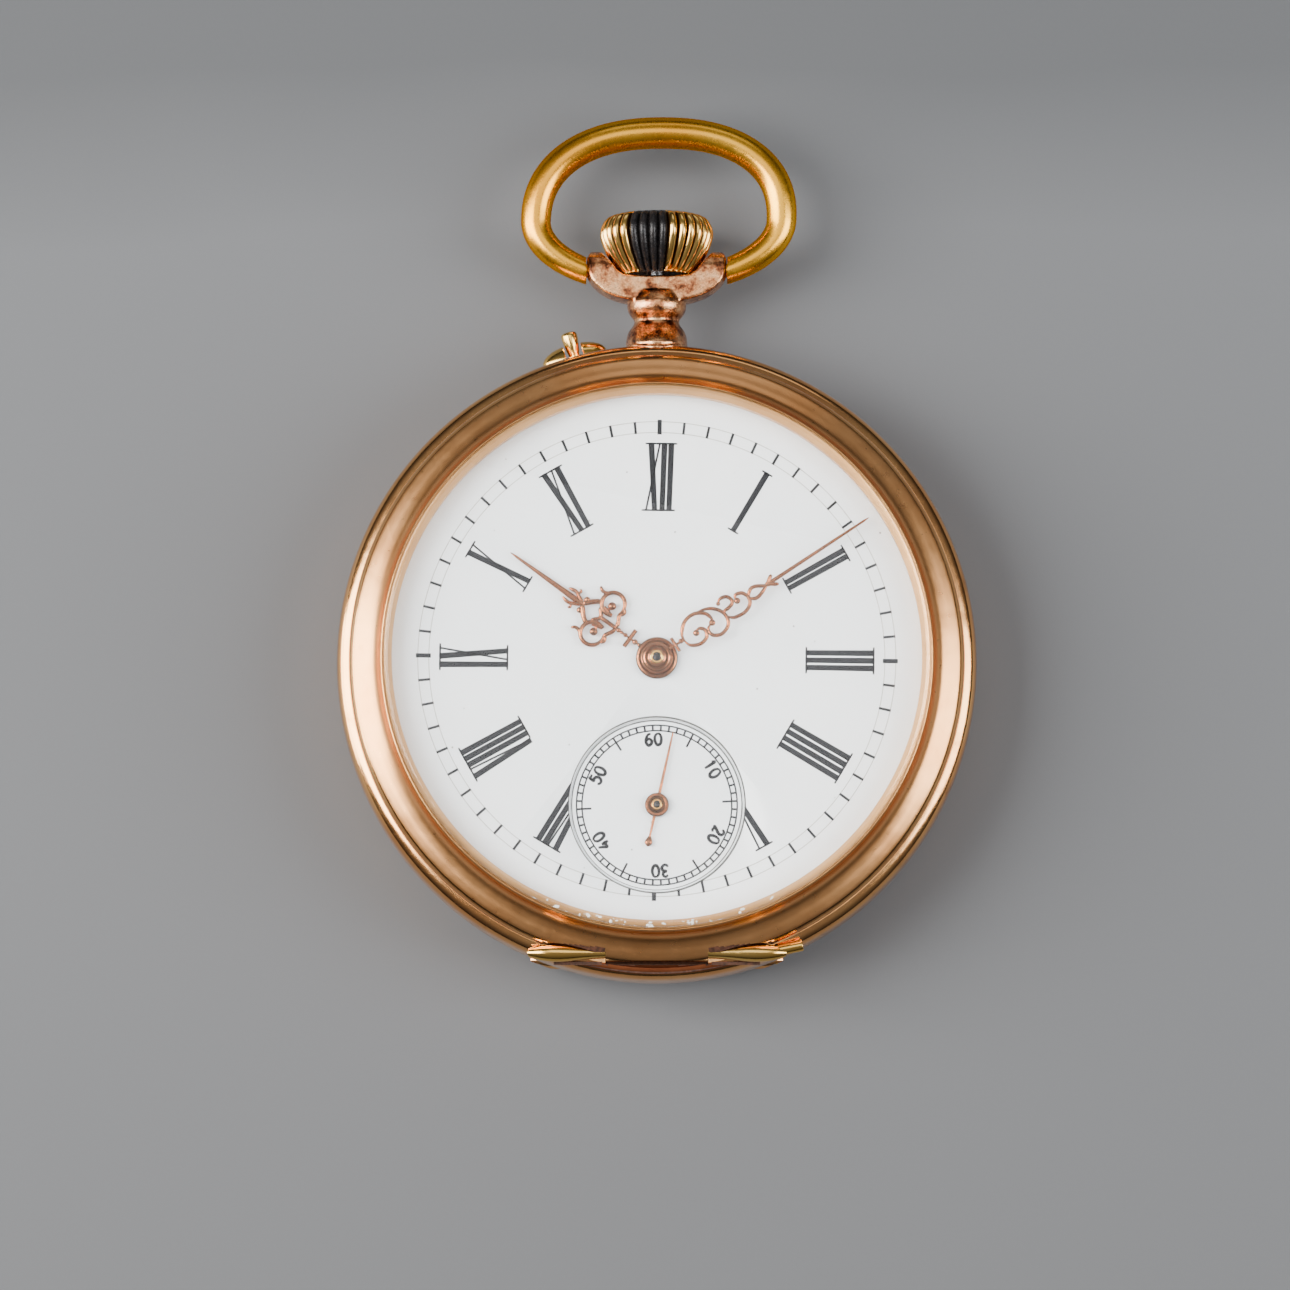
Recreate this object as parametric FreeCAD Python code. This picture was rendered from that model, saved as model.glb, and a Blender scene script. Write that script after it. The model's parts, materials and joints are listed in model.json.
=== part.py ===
"""Open face pocket watch, built in millimetres.

The watch lies on its back. The origin is the middle of the flat back, +Z comes out of the dial,
+Y points to twelve o'clock and +X to three o'clock. Angles are in degrees, anticlockwise from +X.
"""
import FreeCAD, Part
import math
import os

Vec = FreeCAD.Vector
ORIGIN = Vec(0, 0, 0)
ALONG_X = Vec(1, 0, 0)
ALONG_Y = Vec(0, 1, 0)
UP = Vec(0, 0, 1)

# Case and covers
CASE_RADIUS = 25.0
BAND_BOTTOM = 2.9
BAND_MIDDLE = 6.3
BAND_TOP = 9.65
SEAM_RADIUS = 24.0
BACK_SEAM_RADIUS = 24.25
MOVEMENT_BORE = 20.4
DIAL_BORE = 21.1
LEDGE_HEIGHT = 7.9
BEZEL_RADIUS = 23.95
BEZEL_BOTTOM = 9.67
CREST_RADIUS = 21.4
CREST_HEIGHT = 12.8
HINGE_Y = -22.9
BEZEL_HINGE_HEIGHT = 10.0
TUBE_RADIUS = 0.7
HINGE_PIN_RADIUS = 0.35
HINGE_CLEARANCE = 0.03
HINGE_HALF_LENGTH = 10.4
TUBE_HALF_LENGTH = 11.4
TUBE_END_RADIUS = 25.3
KNUCKLE_HALF_LENGTH = 4.0
DUST_COVER_LOW = 1.95
DUST_COVER_HIGH = 2.3
DUST_COVER_RADIUS = 22.2
CRYSTAL_LOW = 12.32
CRYSTAL_HIGH = 13.4
CRYSTAL_RADIUS = 21.15

# Pendant, crown and bow, all on the winding stem's axis
STEM_HEIGHT = 5.95
STEM_RADIUS = 0.7
STEM_HOLE_RADIUS = 0.8
PIVOT_Y = 31.3
CROWN_BASE_Y = 30.9
CROWN_TOP_Y = 35.6
CROWN_RADIUS = 4.47
CROWN_RIBS = 32
WORN_RIBS = 4
WORN_TURN = -10.0
BOW_CENTRE_Y = 35.35
BOW_HALF_WIDTH = 9.73
BOW_UPPER_HEIGHT = 6.55
BOW_LOWER_HEIGHT = 4.97
BOW_END_ANGLE = 150.0
BOW_END_X = 5.56

# Setting push-pin
PUSH_ANGLE = 104.8
PUSH_HEIGHT = 5.75
PUSH_RADIUS = 0.4

# Dial and hands
DIAL_RADIUS = 21.0
DIAL_LOW = 9.4
DIAL_HIGH = 10.4
DIAL_FEET = (50, 170, 300)
DIAL_FEET_REACH = 18.5
DIAL_FOOT_RADIUS = 0.4
SECONDS_CENTRE = (0.0, -11.37)
SECONDS_RADIUS = 6.7
HOUR_HAND_LOW = 10.75
MINUTE_HAND_LOW = 11.2
SECONDS_HAND_LOW = 10.3
HAND_THICKNESS = 0.15
HOUR_HAND_LENGTH = 14.0
MINUTE_HAND_LENGTH = 19.7
SECONDS_HAND_LENGTH = 5.8
MINUTE_HAND_ANGLE = 90 - 56.5
HOUR_HAND_ANGLE = 90 + 54.1
SECONDS_HAND_ANGLE = 90 - 12.5

# Movement layers
BRIDGE_LOW = 3.5
BRIDGE_HIGH = 4.1
PLATE_LOW = 6.4
PLATE_HIGH = 8.3
PLATE_RADIUS = 20.3
BRIDGE_REACH = 20.1
COCK_LOW = 2.9
COCK_HIGH = 3.85
WINDING_LOW = 2.95
WINDING_HIGH = 3.45
PIVOT_RADIUS = 0.12
JEWEL_HOLE = 0.14
ARBOR_RADIUS = 0.2

# Movement centres
CENTRE = (0.0, 0.0)
BARREL_PLACE = (7.794, 4.5)
THIRD_PLACE = (-3.7, -6.18)
FOURTH_PLACE = SECONDS_CENTRE
ESCAPE_PLACE = (-5.4, -13.3)
PALLET_PLACE = (-7.86, -10.8)
BALANCE_PLACE = (-12.0, -6.6)
CROWN_WHEEL_PLACE = (0.0, 10.766)
CLICK_PLACE = (15.87, 1.56)
CLICK_TIP = (12.19, -1.13)
LEVER_PLACE = (-10.0, 14.5)
MINUTE_WHEEL_PLACE = (1.8, 3.118)
SETTING_WHEEL_PLACE = (0.0, 8.526)
COCK_FOOT = (-14.8, 4.6)
PALLET_FOOT = (-11.5, -14.3)
BRIDGE_PILLAR = (-6.0, 8.5)
CLICK_SPRING_FOOT = (17.5, -2.3)
CASE_SCREW_ANGLES = (336, 140)
CASE_SCREW_REACH = 19.7


# ---------------------------------------------------------------- shape helpers

def polar(radius, degrees, centre=(0.0, 0.0)):
    turn = math.radians(degrees)
    return (centre[0] + radius * math.cos(turn), centre[1] + radius * math.sin(turn))


def disc(place, radius, low, high):
    return Part.makeCylinder(radius, high - low, Vec(place[0], place[1], low))


def ring(place, outer, inner, low, high):
    return disc(place, outer, low, high).cut(disc(place, inner, low, high))


def box(low_corner, high_corner):
    size = [high - low for low, high in zip(low_corner, high_corner)]
    return Part.makeBox(size[0], size[1], size[2], Vec(*low_corner))


def slab(corners, low, high):
    points = [Vec(x, y, low) for x, y in corners]
    return Part.Face(Part.makePolygon(points + points[:1])).extrude(Vec(0, 0, high - low))


def bar(start, end, start_radius, end_radius, low, high):
    """Flat bar with round ends, tapering from one end to the other."""
    along = Vec(end[0] - start[0], end[1] - start[1], 0).normalize()
    side = (-along.y, along.x)
    corners = []
    for place, radius in ((start, start_radius), (end, -end_radius)):
        for sign in (1, -1):
            corners.append((place[0] + sign * radius * side[0], place[1] + sign * radius * side[1]))
    body = slab(corners, low, high)
    return body.fuse([disc(start, start_radius, low, high), disc(end, end_radius, low, high)])


def face_of(steps, to_point):
    """Face from (u, v) corners. A step of four numbers is an arc through its first pair."""
    here = to_point(*steps[0])
    edges = []
    for step in steps[1:] + steps[:1]:
        there = to_point(*step[-2:])
        if len(step) == 4:
            edges.append(Part.Arc(here, to_point(*step[:2]), there).toShape())
        else:
            edges.append(Part.makeLine(here, there))
        here = there
    return Part.Face(Part.Wire(edges))


def turned(steps, place=(0.0, 0.0)):
    """Solid of revolution about a vertical axis, from (radius, height) steps."""
    solid = face_of(steps, lambda radius, height: Vec(radius, 0, height)).revolve(ORIGIN, UP, 360)
    return solid.translate(Vec(place[0], place[1], 0))


def turned_on_stem(steps, first_angle=0.0, sweep=360.0):
    """Solid of revolution about the stem, from (radius, y) steps; angle 0 faces the front."""
    face = face_of(steps, lambda radius, y: Vec(0, y, STEM_HEIGHT + radius))
    middle = Vec(0, 0, STEM_HEIGHT)
    face.rotate(middle, ALONG_Y, first_angle)
    return face.revolve(middle, ALONG_Y, sweep)


def rod_along_x(radius, half_length, y, height, start=None):
    first = -half_length if start is None else start
    return Part.makeCylinder(radius, half_length - first, Vec(first, y, height), ALONG_X)


def rod_along_stem(radius, start_y, end_y):
    return Part.makeCylinder(radius, end_y - start_y, Vec(0, start_y, STEM_HEIGHT), ALONG_Y)


def radial_rod(radius, start, end):
    """Rod on the push-pin's line, between two distances from the middle of the watch."""
    outward = Vec(*polar(1, PUSH_ANGLE), 0)
    return Part.makeCylinder(radius, end - start, outward * start + UP * PUSH_HEIGHT, outward)


class Gear:
    """A toothed wheel or pinion; phase is the angle of one tooth's middle, in radians."""

    TIP = 0.8
    ROOT = 1.2
    FORM = ((-0.29, -ROOT), (-0.11, TIP), (0.11, TIP), (0.29, -ROOT))

    def __init__(self, place, teeth, module, phase=0.0):
        self.place = place
        self.teeth = teeth
        self.module = module
        self.phase = phase
        self.pitch = 2 * math.pi / teeth
        self.radius = teeth * module / 2

    def driving(self, place, teeth):
        """The gear at another place that is in mesh with this one."""
        line = math.atan2(place[1] - self.place[1], place[0] - self.place[0])
        share = (line - self.phase) / self.pitch
        phase = line + math.pi - (0.5 - share) * 2 * math.pi / teeth
        return Gear(place, teeth, self.module, phase)

    def solid(self, low, high):
        corners = []
        for tooth in range(self.teeth):
            for share, reach in self.FORM:
                angle = self.phase + (tooth + share) * self.pitch
                corners.append(polar(self.radius + reach * self.module, math.degrees(angle), self.place))
        return slab(corners, low, high)


def crossed_out(wheel, place, hub, rim, arms, arm_width, low, high):
    """Cut the windows between a wheel's arms."""
    windows = ring(place, rim, hub, low, high)
    for arm in range(arms):
        end = polar(rim + 1, 360.0 * arm / arms + 20, place)
        windows = windows.cut(bar(place, end, arm_width / 2, arm_width / 2, low, high))
    return wheel.cut(windows)


def stepped_arbor(place, steps):
    """Turned shaft from (radius, low, high) steps."""
    parts = [disc(place, radius, low, high) for radius, low, high in steps]
    return parts[0].fuse(parts[1:]).removeSplitter()


def screw(place, head_low, head_radius, head_height, shank_radius, shank_length):
    """Slotted screw with its head towards the back of the watch."""
    head_high = head_low + head_height
    body = disc(place, head_radius, head_low, head_high)
    body = body.fuse(disc(place, shank_radius, head_high, head_high + shank_length))
    slot_half = head_radius * 0.12
    low_corner = (place[0] - head_radius, place[1] - slot_half, head_low)
    high_corner = (place[0] + head_radius, place[1] + slot_half, head_low + head_height * 0.45)
    return body.cut(box(low_corner, high_corner))


def spiral(place, first_radius, pitch, half_turns, thickness, low, high, turn):
    """Flat strip spring wound from half circles of growing radius."""
    inner = []
    outer = []
    side = 1
    for step in range(half_turns):
        radius = first_radius + pitch * step / 2
        centre = Vec(-side * pitch / 4, 0, low)
        for edges, extra in ((inner, 0.0), (outer, thickness)):
            reach = radius + extra
            start = centre + Vec(side * reach, 0, 0)
            middle = centre + Vec(0, side * reach, 0)
            end = centre - Vec(side * reach, 0, 0)
            edges.append(Part.Arc(start, middle, end).toShape())
        side = -side
    ends = [Part.makeLine(inner[0].firstVertex().Point, outer[0].firstVertex().Point),
            Part.makeLine(inner[-1].lastVertex().Point, outer[-1].lastVertex().Point)]
    wire = Part.Wire(Part.__sortEdges__(inner + outer + ends))
    strip = Part.Face(wire).extrude(Vec(0, 0, high - low))
    strip.rotate(ORIGIN, UP, turn)
    return strip.translate(Vec(place[0], place[1], 0))


# ---------------------------------------------------------------- case

def case_envelope():
    """The case band without any bore, used to seat what is soldered on its outside."""
    return turned([(0, BAND_BOTTOM), (BACK_SEAM_RADIUS, BAND_BOTTOM),
                   (CASE_RADIUS, BAND_MIDDLE, SEAM_RADIUS, BAND_TOP), (0, BAND_TOP)])


def hinge_knuckles(height):
    """The two outer tubes of a cover hinge, which belong to the case."""
    right = rod_along_x(TUBE_RADIUS, TUBE_HALF_LENGTH, HINGE_Y, height, KNUCKLE_HALF_LENGTH + 0.05)
    right = right.common(disc(CENTRE, TUBE_END_RADIUS, height - 1, height + 1))
    left = right.mirror(ORIGIN, ALONG_X)
    hole = rod_along_x(HINGE_PIN_RADIUS, TUBE_HALF_LENGTH + 1, HINGE_Y, height)
    return right.cut(hole), left.cut(hole)


def case_middle():
    band = turned([(MOVEMENT_BORE, 2.32), (22.3, 2.32), (22.3, 2.1), (23.1, 2.1), (23.1, BAND_BOTTOM),
                   (BACK_SEAM_RADIUS, BAND_BOTTOM), (CASE_RADIUS, BAND_MIDDLE, SEAM_RADIUS, BAND_TOP),
                   (22.1, BAND_TOP), (22.1, 10.3), (DIAL_BORE, 10.3), (DIAL_BORE, LEDGE_HEIGHT),
                   (MOVEMENT_BORE, LEDGE_HEIGHT)])
    crescent = turned([(22.3, 9.6), (24.05, 9.6), (23.98, 10.02, 23.8, 10.2), (22.3, 10.3)])
    crescent = crescent.common(box((-9, -25, 9), (9, HINGE_Y - 0.83, 11)))
    band = band.fuse(crescent)
    band = band.cut(box((-12, -26, 1.5), (12, HINGE_Y + 1.05, BAND_BOTTOM)))
    for height in (BEZEL_HINGE_HEIGHT, BAND_BOTTOM):
        band = band.cut(rod_along_x(TUBE_RADIUS + 0.12, KNUCKLE_HALF_LENGTH + 0.05, HINGE_Y, height))
    upstand_relief = rod_along_x(1.05, 6.5, HINGE_Y, BEZEL_HINGE_HEIGHT)
    band = band.cut(upstand_relief.common(box((-7, HINGE_Y - 0.8, BAND_TOP), (7, -20, 12))))
    for height in (BEZEL_HINGE_HEIGHT, BAND_BOTTOM):
        for knuckle in hinge_knuckles(height):
            band = band.fuse(knuckle)
        band = band.cut(rod_along_x(HINGE_PIN_RADIUS, TUBE_HALF_LENGTH + 3, HINGE_Y, height))
    band = band.cut(rod_along_stem(STEM_HOLE_RADIUS, 19, 26))
    band = band.cut(rod_along_stem(1.6, 22, 26))
    band = band.cut(radial_rod(PUSH_RADIUS + 0.03, 19, 26))
    band = band.cut(radial_rod(PUSH_RADIUS + 0.25, 24.5, 26))
    for angle in CASE_SCREW_ANGLES:
        band = band.cut(disc(polar(CASE_SCREW_REACH, angle), 1.15, 5.6, PLATE_LOW))
    return band.removeSplitter()


def pendant():
    """Soldered neck with a bead, a collar and the forked cup that holds the bow."""
    neck = turned_on_stem([(STEM_HOLE_RADIUS, 24.0), (1.9, 24.0), (2.415, 25.5, 1.85, 26.75),
                           (1.75, 27.1, 1.9, 27.42), (2.3, 28.2, 2.05, 28.95), (STEM_HOLE_RADIUS, 29.0)])
    neck = neck.cut(case_envelope())
    spigot = rod_along_stem(1.6, 22.0, 25.2).cut(rod_along_stem(STEM_HOLE_RADIUS, 21, 26))
    cup = turned_on_stem([(STEM_HOLE_RADIUS, 28.7), (2.1, 28.6), (4.3, 29.1, 5.5, 30.6), (5.5, 32.45),
                          (5.4, 32.72, 5.1, 32.8), (4.42, 32.8), (4.38, 32.2), (3.9, 31.3, 2.95, 30.7),
                          (STEM_HOLE_RADIUS, 30.7)])
    width = 1.5
    side = face_of([(-width, 27.0), (width, 27.0), (width, PIVOT_Y), (0, PIVOT_Y + width, -width, PIVOT_Y)],
                   lambda z, y: Vec(-7, y, STEM_HEIGHT + z)).extrude(Vec(14, 0, 0))
    cup = cup.common(side)
    holes = rod_along_x(0.58, 7, PIVOT_Y, STEM_HEIGHT)
    return neck.fuse([spigot, cup]).cut(holes).removeSplitter()


def crown_outline(depth, top_depth=0.0):
    """Onion-shaped half section, set in from the outside by depth."""
    return [(0.56, CROWN_BASE_Y + depth), (2.7 - depth, CROWN_BASE_Y + depth),
            (3.95 - depth, 32.2, CROWN_RADIUS - depth, 34.05),
            (4.2 - depth, 35.0 - top_depth, 3.45 - depth, CROWN_TOP_Y - top_depth),
            (0.56, CROWN_TOP_Y - top_depth)]


def crown_parts():
    """Gold shell with raised ribs; four front ribs are worn through to the dark core."""
    rib_pitch = 360.0 / CROWN_RIBS
    rib_width = rib_pitch * 0.62
    window = WORN_RIBS * rib_pitch
    groove_depth = 0.24
    core_depth = 0.5
    worn_depth = 0.12
    inside = turned_on_stem(crown_outline(core_depth, core_depth))
    base = turned_on_stem(crown_outline(groove_depth, 0.1)).cut(inside)
    first_worn = WORN_TURN - window / 2
    worn_outline = crown_outline(groove_depth + worn_depth, 0.3)
    worn_floor = turned_on_stem(worn_outline, first_worn, window).cut(inside)
    gap = turned_on_stem([(2.0, 30), (6, 30), (6, CROWN_TOP_Y - 0.55), (2.0, CROWN_TOP_Y - 0.55)],
                         first_worn, window)
    shell = base.cut(gap)
    core = inside.fuse(worn_floor.common(gap))
    for rib in range(CROWN_RIBS):
        first = (rib + 0.5) * rib_pitch - rib_width / 2 + first_worn
        worn = rib < WORN_RIBS
        outline = crown_outline(worn_depth if worn else 0.0, 0.3 if worn else 0.0)
        strip = turned_on_stem(outline, first, rib_width).cut(inside)
        if worn:
            core = core.fuse(strip.common(gap))
        else:
            shell = shell.fuse(strip)
    thread = rod_along_stem(0.56, 30, CROWN_TOP_Y + 1)
    cap = rod_along_stem(2.6, CROWN_TOP_Y - core_depth, CROWN_TOP_Y + 0.06)
    return shell.fuse(cap).removeSplitter(), core.cut(thread).removeSplitter()


def bow():
    """Oval wire loop, thick at the top and thin where its ends turn in to the pendant."""
    sections = []
    steps = 18
    for step in range(steps + 1):
        degrees = -BOW_END_ANGLE + 2 * BOW_END_ANGLE * step / steps
        turn = math.radians(degrees)
        height = BOW_UPPER_HEIGHT if abs(degrees) < 90 else BOW_LOWER_HEIGHT
        middle = Vec(BOW_HALF_WIDTH * math.sin(turn), BOW_CENTRE_Y + height * math.cos(turn), STEM_HEIGHT)
        heading = Vec(BOW_HALF_WIDTH * math.cos(turn), -height * math.sin(turn), 0)
        thinning = max(0.0, (abs(degrees) - 80) / (BOW_END_ANGLE - 80))
        radius = 1.25 - 0.05 * min(1.0, abs(degrees) / 80) - 0.2 * thinning
        sections.append(Part.Wire(Part.makeCircle(radius, middle, heading)))
    loop = Part.makeLoft(sections, True, False)
    loop = loop.cut(box((-BOW_END_X, PIVOT_Y - 3, 3), (BOW_END_X, PIVOT_Y + 3, 9)))
    for sign in (1, -1):
        loop = loop.fuse(Part.makeCylinder(0.55, 1.6, Vec(sign * 4.6, PIVOT_Y, STEM_HEIGHT),
                                           ALONG_X * sign))
    return loop


def bezel():
    outline = [(20.7, 10.5), (22.2, 10.5), (22.2, BEZEL_BOTTOM), (BEZEL_RADIUS, BEZEL_BOTTOM),
               (BEZEL_RADIUS, 10.15), (BEZEL_RADIUS - 0.08, 10.36, 23.65, 10.42),
               (22.35, 10.85, CREST_RADIUS + 0.1, CREST_HEIGHT - 0.15),
               (CREST_RADIUS, CREST_HEIGHT, 21.25, CREST_HEIGHT - 0.08), (21.2, CRYSTAL_LOW - 0.02),
               (20.7, CRYSTAL_LOW - 0.02)]
    body = turned(outline)
    beyond = box((-26, -26, 9), (26, HINGE_Y, 14))
    near_axis = rod_along_x(TUBE_RADIUS + 0.05, 9, HINGE_Y, BEZEL_HINGE_HEIGHT)
    body = body.cut(beyond.cut(near_axis))
    clear = rod_along_x(TUBE_RADIUS + 0.1, 12, HINGE_Y, BEZEL_HINGE_HEIGHT, KNUCKLE_HALF_LENGTH - 0.05)
    body = body.cut([clear, clear.mirror(ORIGIN, ALONG_X)])
    knuckle = rod_along_x(TUBE_RADIUS, KNUCKLE_HALF_LENGTH - 0.05, HINGE_Y, BEZEL_HINGE_HEIGHT)
    hole = rod_along_x(HINGE_PIN_RADIUS + HINGE_CLEARANCE, 13, HINGE_Y, BEZEL_HINGE_HEIGHT)
    return body.fuse(knuckle).cut(hole).removeSplitter()


def crystal():
    return turned([(0, CRYSTAL_LOW), (CRYSTAL_RADIUS, CRYSTAL_LOW), (CRYSTAL_RADIUS, CRYSTAL_LOW + 0.4),
                   (CRYSTAL_RADIUS - 0.65, CRYSTAL_HIGH - 0.08), (CRYSTAL_RADIUS - 0.85, CRYSTAL_HIGH),
                   (0, CRYSTAL_HIGH)])


def back_cover():
    outer_rim = 24.3
    dome = turned([(0, 0), (16, 0), (20.6, 0.62, 23.9, 1.85), (24.25, 2.1, outer_rim, 2.5),
                   (outer_rim, BAND_BOTTOM - 0.02), (23.2, BAND_BOTTOM - 0.02), (23.2, 2.05),
                   (20.3, 1.08, 16, 0.5), (0, 0.5)])
    block = box((-KNUCKLE_HALF_LENGTH + 0.05, HINGE_Y, 1.2),
                (KNUCKLE_HALF_LENGTH - 0.05, HINGE_Y + 0.95, BAND_BOTTOM))
    under = turned([(0, 1.2), (19, 1.2), (23.0, 1.6), (23.0, BAND_BOTTOM), (0, BAND_BOTTOM)])
    body = dome.fuse(block.common(under))
    beyond = box((-26, -26, 0), (26, HINGE_Y, BAND_BOTTOM))
    near_axis = rod_along_x(TUBE_RADIUS + 0.05, 9, HINGE_Y, BAND_BOTTOM)
    body = body.cut(beyond.cut(near_axis))
    clear = rod_along_x(TUBE_RADIUS + 0.1, 12, HINGE_Y, BAND_BOTTOM, KNUCKLE_HALF_LENGTH - 0.05)
    body = body.cut([clear, clear.mirror(ORIGIN, ALONG_X)])
    knuckle = rod_along_x(TUBE_RADIUS, KNUCKLE_HALF_LENGTH - 0.05, HINGE_Y, BAND_BOTTOM)
    hole = rod_along_x(HINGE_PIN_RADIUS + HINGE_CLEARANCE, 13, HINGE_Y, BAND_BOTTOM)
    return body.fuse(knuckle).cut(hole).removeSplitter()


def dust_cover():
    plate = disc(CENTRE, DUST_COVER_RADIUS, DUST_COVER_LOW, DUST_COVER_HIGH)
    return plate.cut(box((-12, -24, 1), (12, HINGE_Y + 1.1, 3)))


def hinge_pins():
    return Part.makeCompound([rod_along_x(HINGE_PIN_RADIUS, HINGE_HALF_LENGTH, HINGE_Y, height)
                              for height in (BEZEL_HINGE_HEIGHT, BAND_BOTTOM)])


def setting_pin():
    shaft = radial_rod(PUSH_RADIUS, 19.2, 25.7)
    collar = radial_rod(0.6, 19.9, 20.2)
    outward = Vec(*polar(1, PUSH_ANGLE), 0)
    head = Part.makeCone(PUSH_RADIUS, 0.58, 1.1, outward * 25.6 + UP * PUSH_HEIGHT, outward)
    tip = Part.makeCone(0.58, 0.4, 0.18, outward * 26.7 + UP * PUSH_HEIGHT, outward)
    return shaft.fuse([collar, head, tip]).removeSplitter()


def setting_pin_guard():
    """Olive-shaped guard, split by the push-pin into two halves."""
    half_length = 2.5
    height = 1.0
    olive = face_of([(-half_length, 0), (0, height, half_length, 0)],
                    lambda along, out: Vec(along, out, 0)).revolve(ORIGIN, ALONG_X, 360)
    olive = olive.cut(box((-0.68, -2, -2), (0.68, 2, 2)))
    olive.translate(Vec(0, 24.85, PUSH_HEIGHT))
    olive.rotate(ORIGIN, UP, PUSH_ANGLE - 90)
    return olive.cut(case_envelope())


# ---------------------------------------------------------------- dial and hands

def dial():
    plate = disc(CENTRE, DIAL_RADIUS, DIAL_LOW, DIAL_HIGH)
    plate = plate.cut(disc(CENTRE, 1.3, DIAL_LOW, DIAL_HIGH))
    sink = turned([(0, DIAL_LOW), (SECONDS_RADIUS, DIAL_LOW), (SECONDS_RADIUS, 10.12),
                   (SECONDS_RADIUS + 0.3, DIAL_HIGH), (0, DIAL_HIGH)], SECONDS_CENTRE)
    feet = [disc(polar(DIAL_FEET_REACH, angle), DIAL_FOOT_RADIUS, 7.0, DIAL_LOW) for angle in DIAL_FEET]
    return plate.cut(sink).fuse(feet)


def seconds_dial():
    return ring(SECONDS_CENTRE, SECONDS_RADIUS, 0.5, DIAL_LOW, 10.1)


def turned_hand(shape, angle, centre=(0.0, 0.0)):
    """A hand drawn pointing along +X, swung to its angle and moved to its pivot."""
    shape.rotate(ORIGIN, UP, angle)
    return shape.translate(Vec(centre[0], centre[1], 0))


def scroll(centre, radius, first, last, width, low, high):
    """Part of a flat ring, for the curled work of a hand."""
    start = radius - width / 2
    band = ring(centre, radius + width / 2, start, low, high)
    face = face_of([centre, polar(radius * 3, first, centre),
                    polar(radius * 3, (first + last) / 2, centre) + polar(radius * 3, last, centre)],
                   lambda x, y: Vec(x, y, low))
    return band.common(face.extrude(Vec(0, 0, high - low)))


def hour_hand():
    low, high = HOUR_HAND_LOW, HOUR_HAND_LOW + HAND_THICKNESS
    hub = disc(CENTRE, 1.6, 10.6, 11.0)
    parts = [bar((1.5, 0), (4.0, 0), 0.2, 0.2, low, high), slab([(2.5, 0.8), (2.8, 0.8), (2.8, -0.8),
                                                                (2.5, -0.8)], low, high)]
    parts.append(bar((4.0, 0), (5.4, 0), 0.16, 0.12, low, high))
    for sign in (1, -1):
        parts.append(bar((4.0, 0), (4.35, sign * 0.98), 0.14, 0.12, low, high))
        parts.append(ring((5.18, sign * 1.41), 0.98, 0.76, low, high))
        parts.append(disc((5.15, sign * 0.95), 0.3, low, high))
        parts.append(bar((5.35, 0), (5.9, sign * 0.8), 0.12, 0.12, low, high))
        parts.append(bar((6.0, sign * 1.5), (7.2, sign * 0.1), 0.13, 0.2, low, high))
        parts.append(bar((7.1, 0), (8.75, sign * 0.45), 0.16, 0.06, low, high))
    parts.append(slab([(6.9, 0.2), (6.9, -0.2), (8.46, -0.17), (HOUR_HAND_LENGTH, -0.02),
                       (HOUR_HAND_LENGTH, 0.02), (8.46, 0.17)],
                      low, high))
    return turned_hand(hub.fuse(parts).cut(disc(CENTRE, 1.1, 10, 12)), HOUR_HAND_ANGLE)


def minute_hand():
    low, high = MINUTE_HAND_LOW, MINUTE_HAND_LOW + HAND_THICKNESS
    width = 0.2
    hub = disc(CENTRE, 1.1, 11.1, 11.5)
    curls = [((3.75, 0.05), 1.2, -60, 180), ((3.4, -0.35), 0.72, 100, 360), ((5.25, -0.15), 1.08, -150, 110),
             ((6.75, 0.55), 0.48, -130, 160), ((7.6, -0.05), 0.85, -150, 120), ((9.0, 0.06), 0.42, 0, 359)]
    parts = [bar((1.0, 0), (2.6, 0), 0.14, 0.14, low, high),
             slab([(1.64, 0.62), (1.83, 0.62), (1.83, -0.62), (1.64, -0.62)], low, high),
             bar((2.6, 0), (6.4, -0.1), 0.1, 0.1, low, high), bar((6.4, -0.1), (10.3, 0), 0.09, 0.1, low, high)]
    for centre, radius, first, last in curls:
        parts.append(scroll(centre, radius, first, last, width, low, high))
    for sign in (1, -1):
        parts.append(bar((10.0, 0), (11.0, sign * 0.45), 0.12, 0.05, low, high))
    parts.append(slab([(10.1, 0.1), (10.1, -0.1), (MINUTE_HAND_LENGTH, -0.05), (MINUTE_HAND_LENGTH, 0.05)],
                      low, high))
    hand = hub.fuse(parts).cut(disc(CENTRE, 0.5, 11, 12))
    return turned_hand(hand.Solids[0], MINUTE_HAND_ANGLE)


def seconds_hand():
    low, high = SECONDS_HAND_LOW, SECONDS_HAND_LOW + 0.12
    parts = [disc(CENTRE, 0.45, 10.2, 10.6), bar((-2.5, 0), (SECONDS_HAND_LENGTH, 0), 0.1, 0.05, low, high),
             bar((-2.5, 0), (-3.2, 0), 0.1, 0.3, low, high)]
    hand = disc(CENTRE, 0.92, low, high).fuse(parts).cut(disc(CENTRE, ARBOR_RADIUS, 10, 11))
    return turned_hand(hand, SECONDS_HAND_ANGLE, SECONDS_CENTRE)


# ---------------------------------------------------------------- plates and bridges

def rim_wall(first, last):
    """Stretch of wall near the edge that carries a bridge on the mainplate."""
    wall = ring(CENTRE, BRIDGE_REACH, 18.3, BRIDGE_HIGH, PLATE_LOW)
    wedge = face_of([(0, 0), polar(30, first), polar(30, (first + last) / 2) + polar(30, last)],
                    lambda x, y: Vec(x, y, BRIDGE_HIGH))
    return wall.common(wedge.extrude(Vec(0, 0, PLATE_LOW - BRIDGE_HIGH)))


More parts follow.
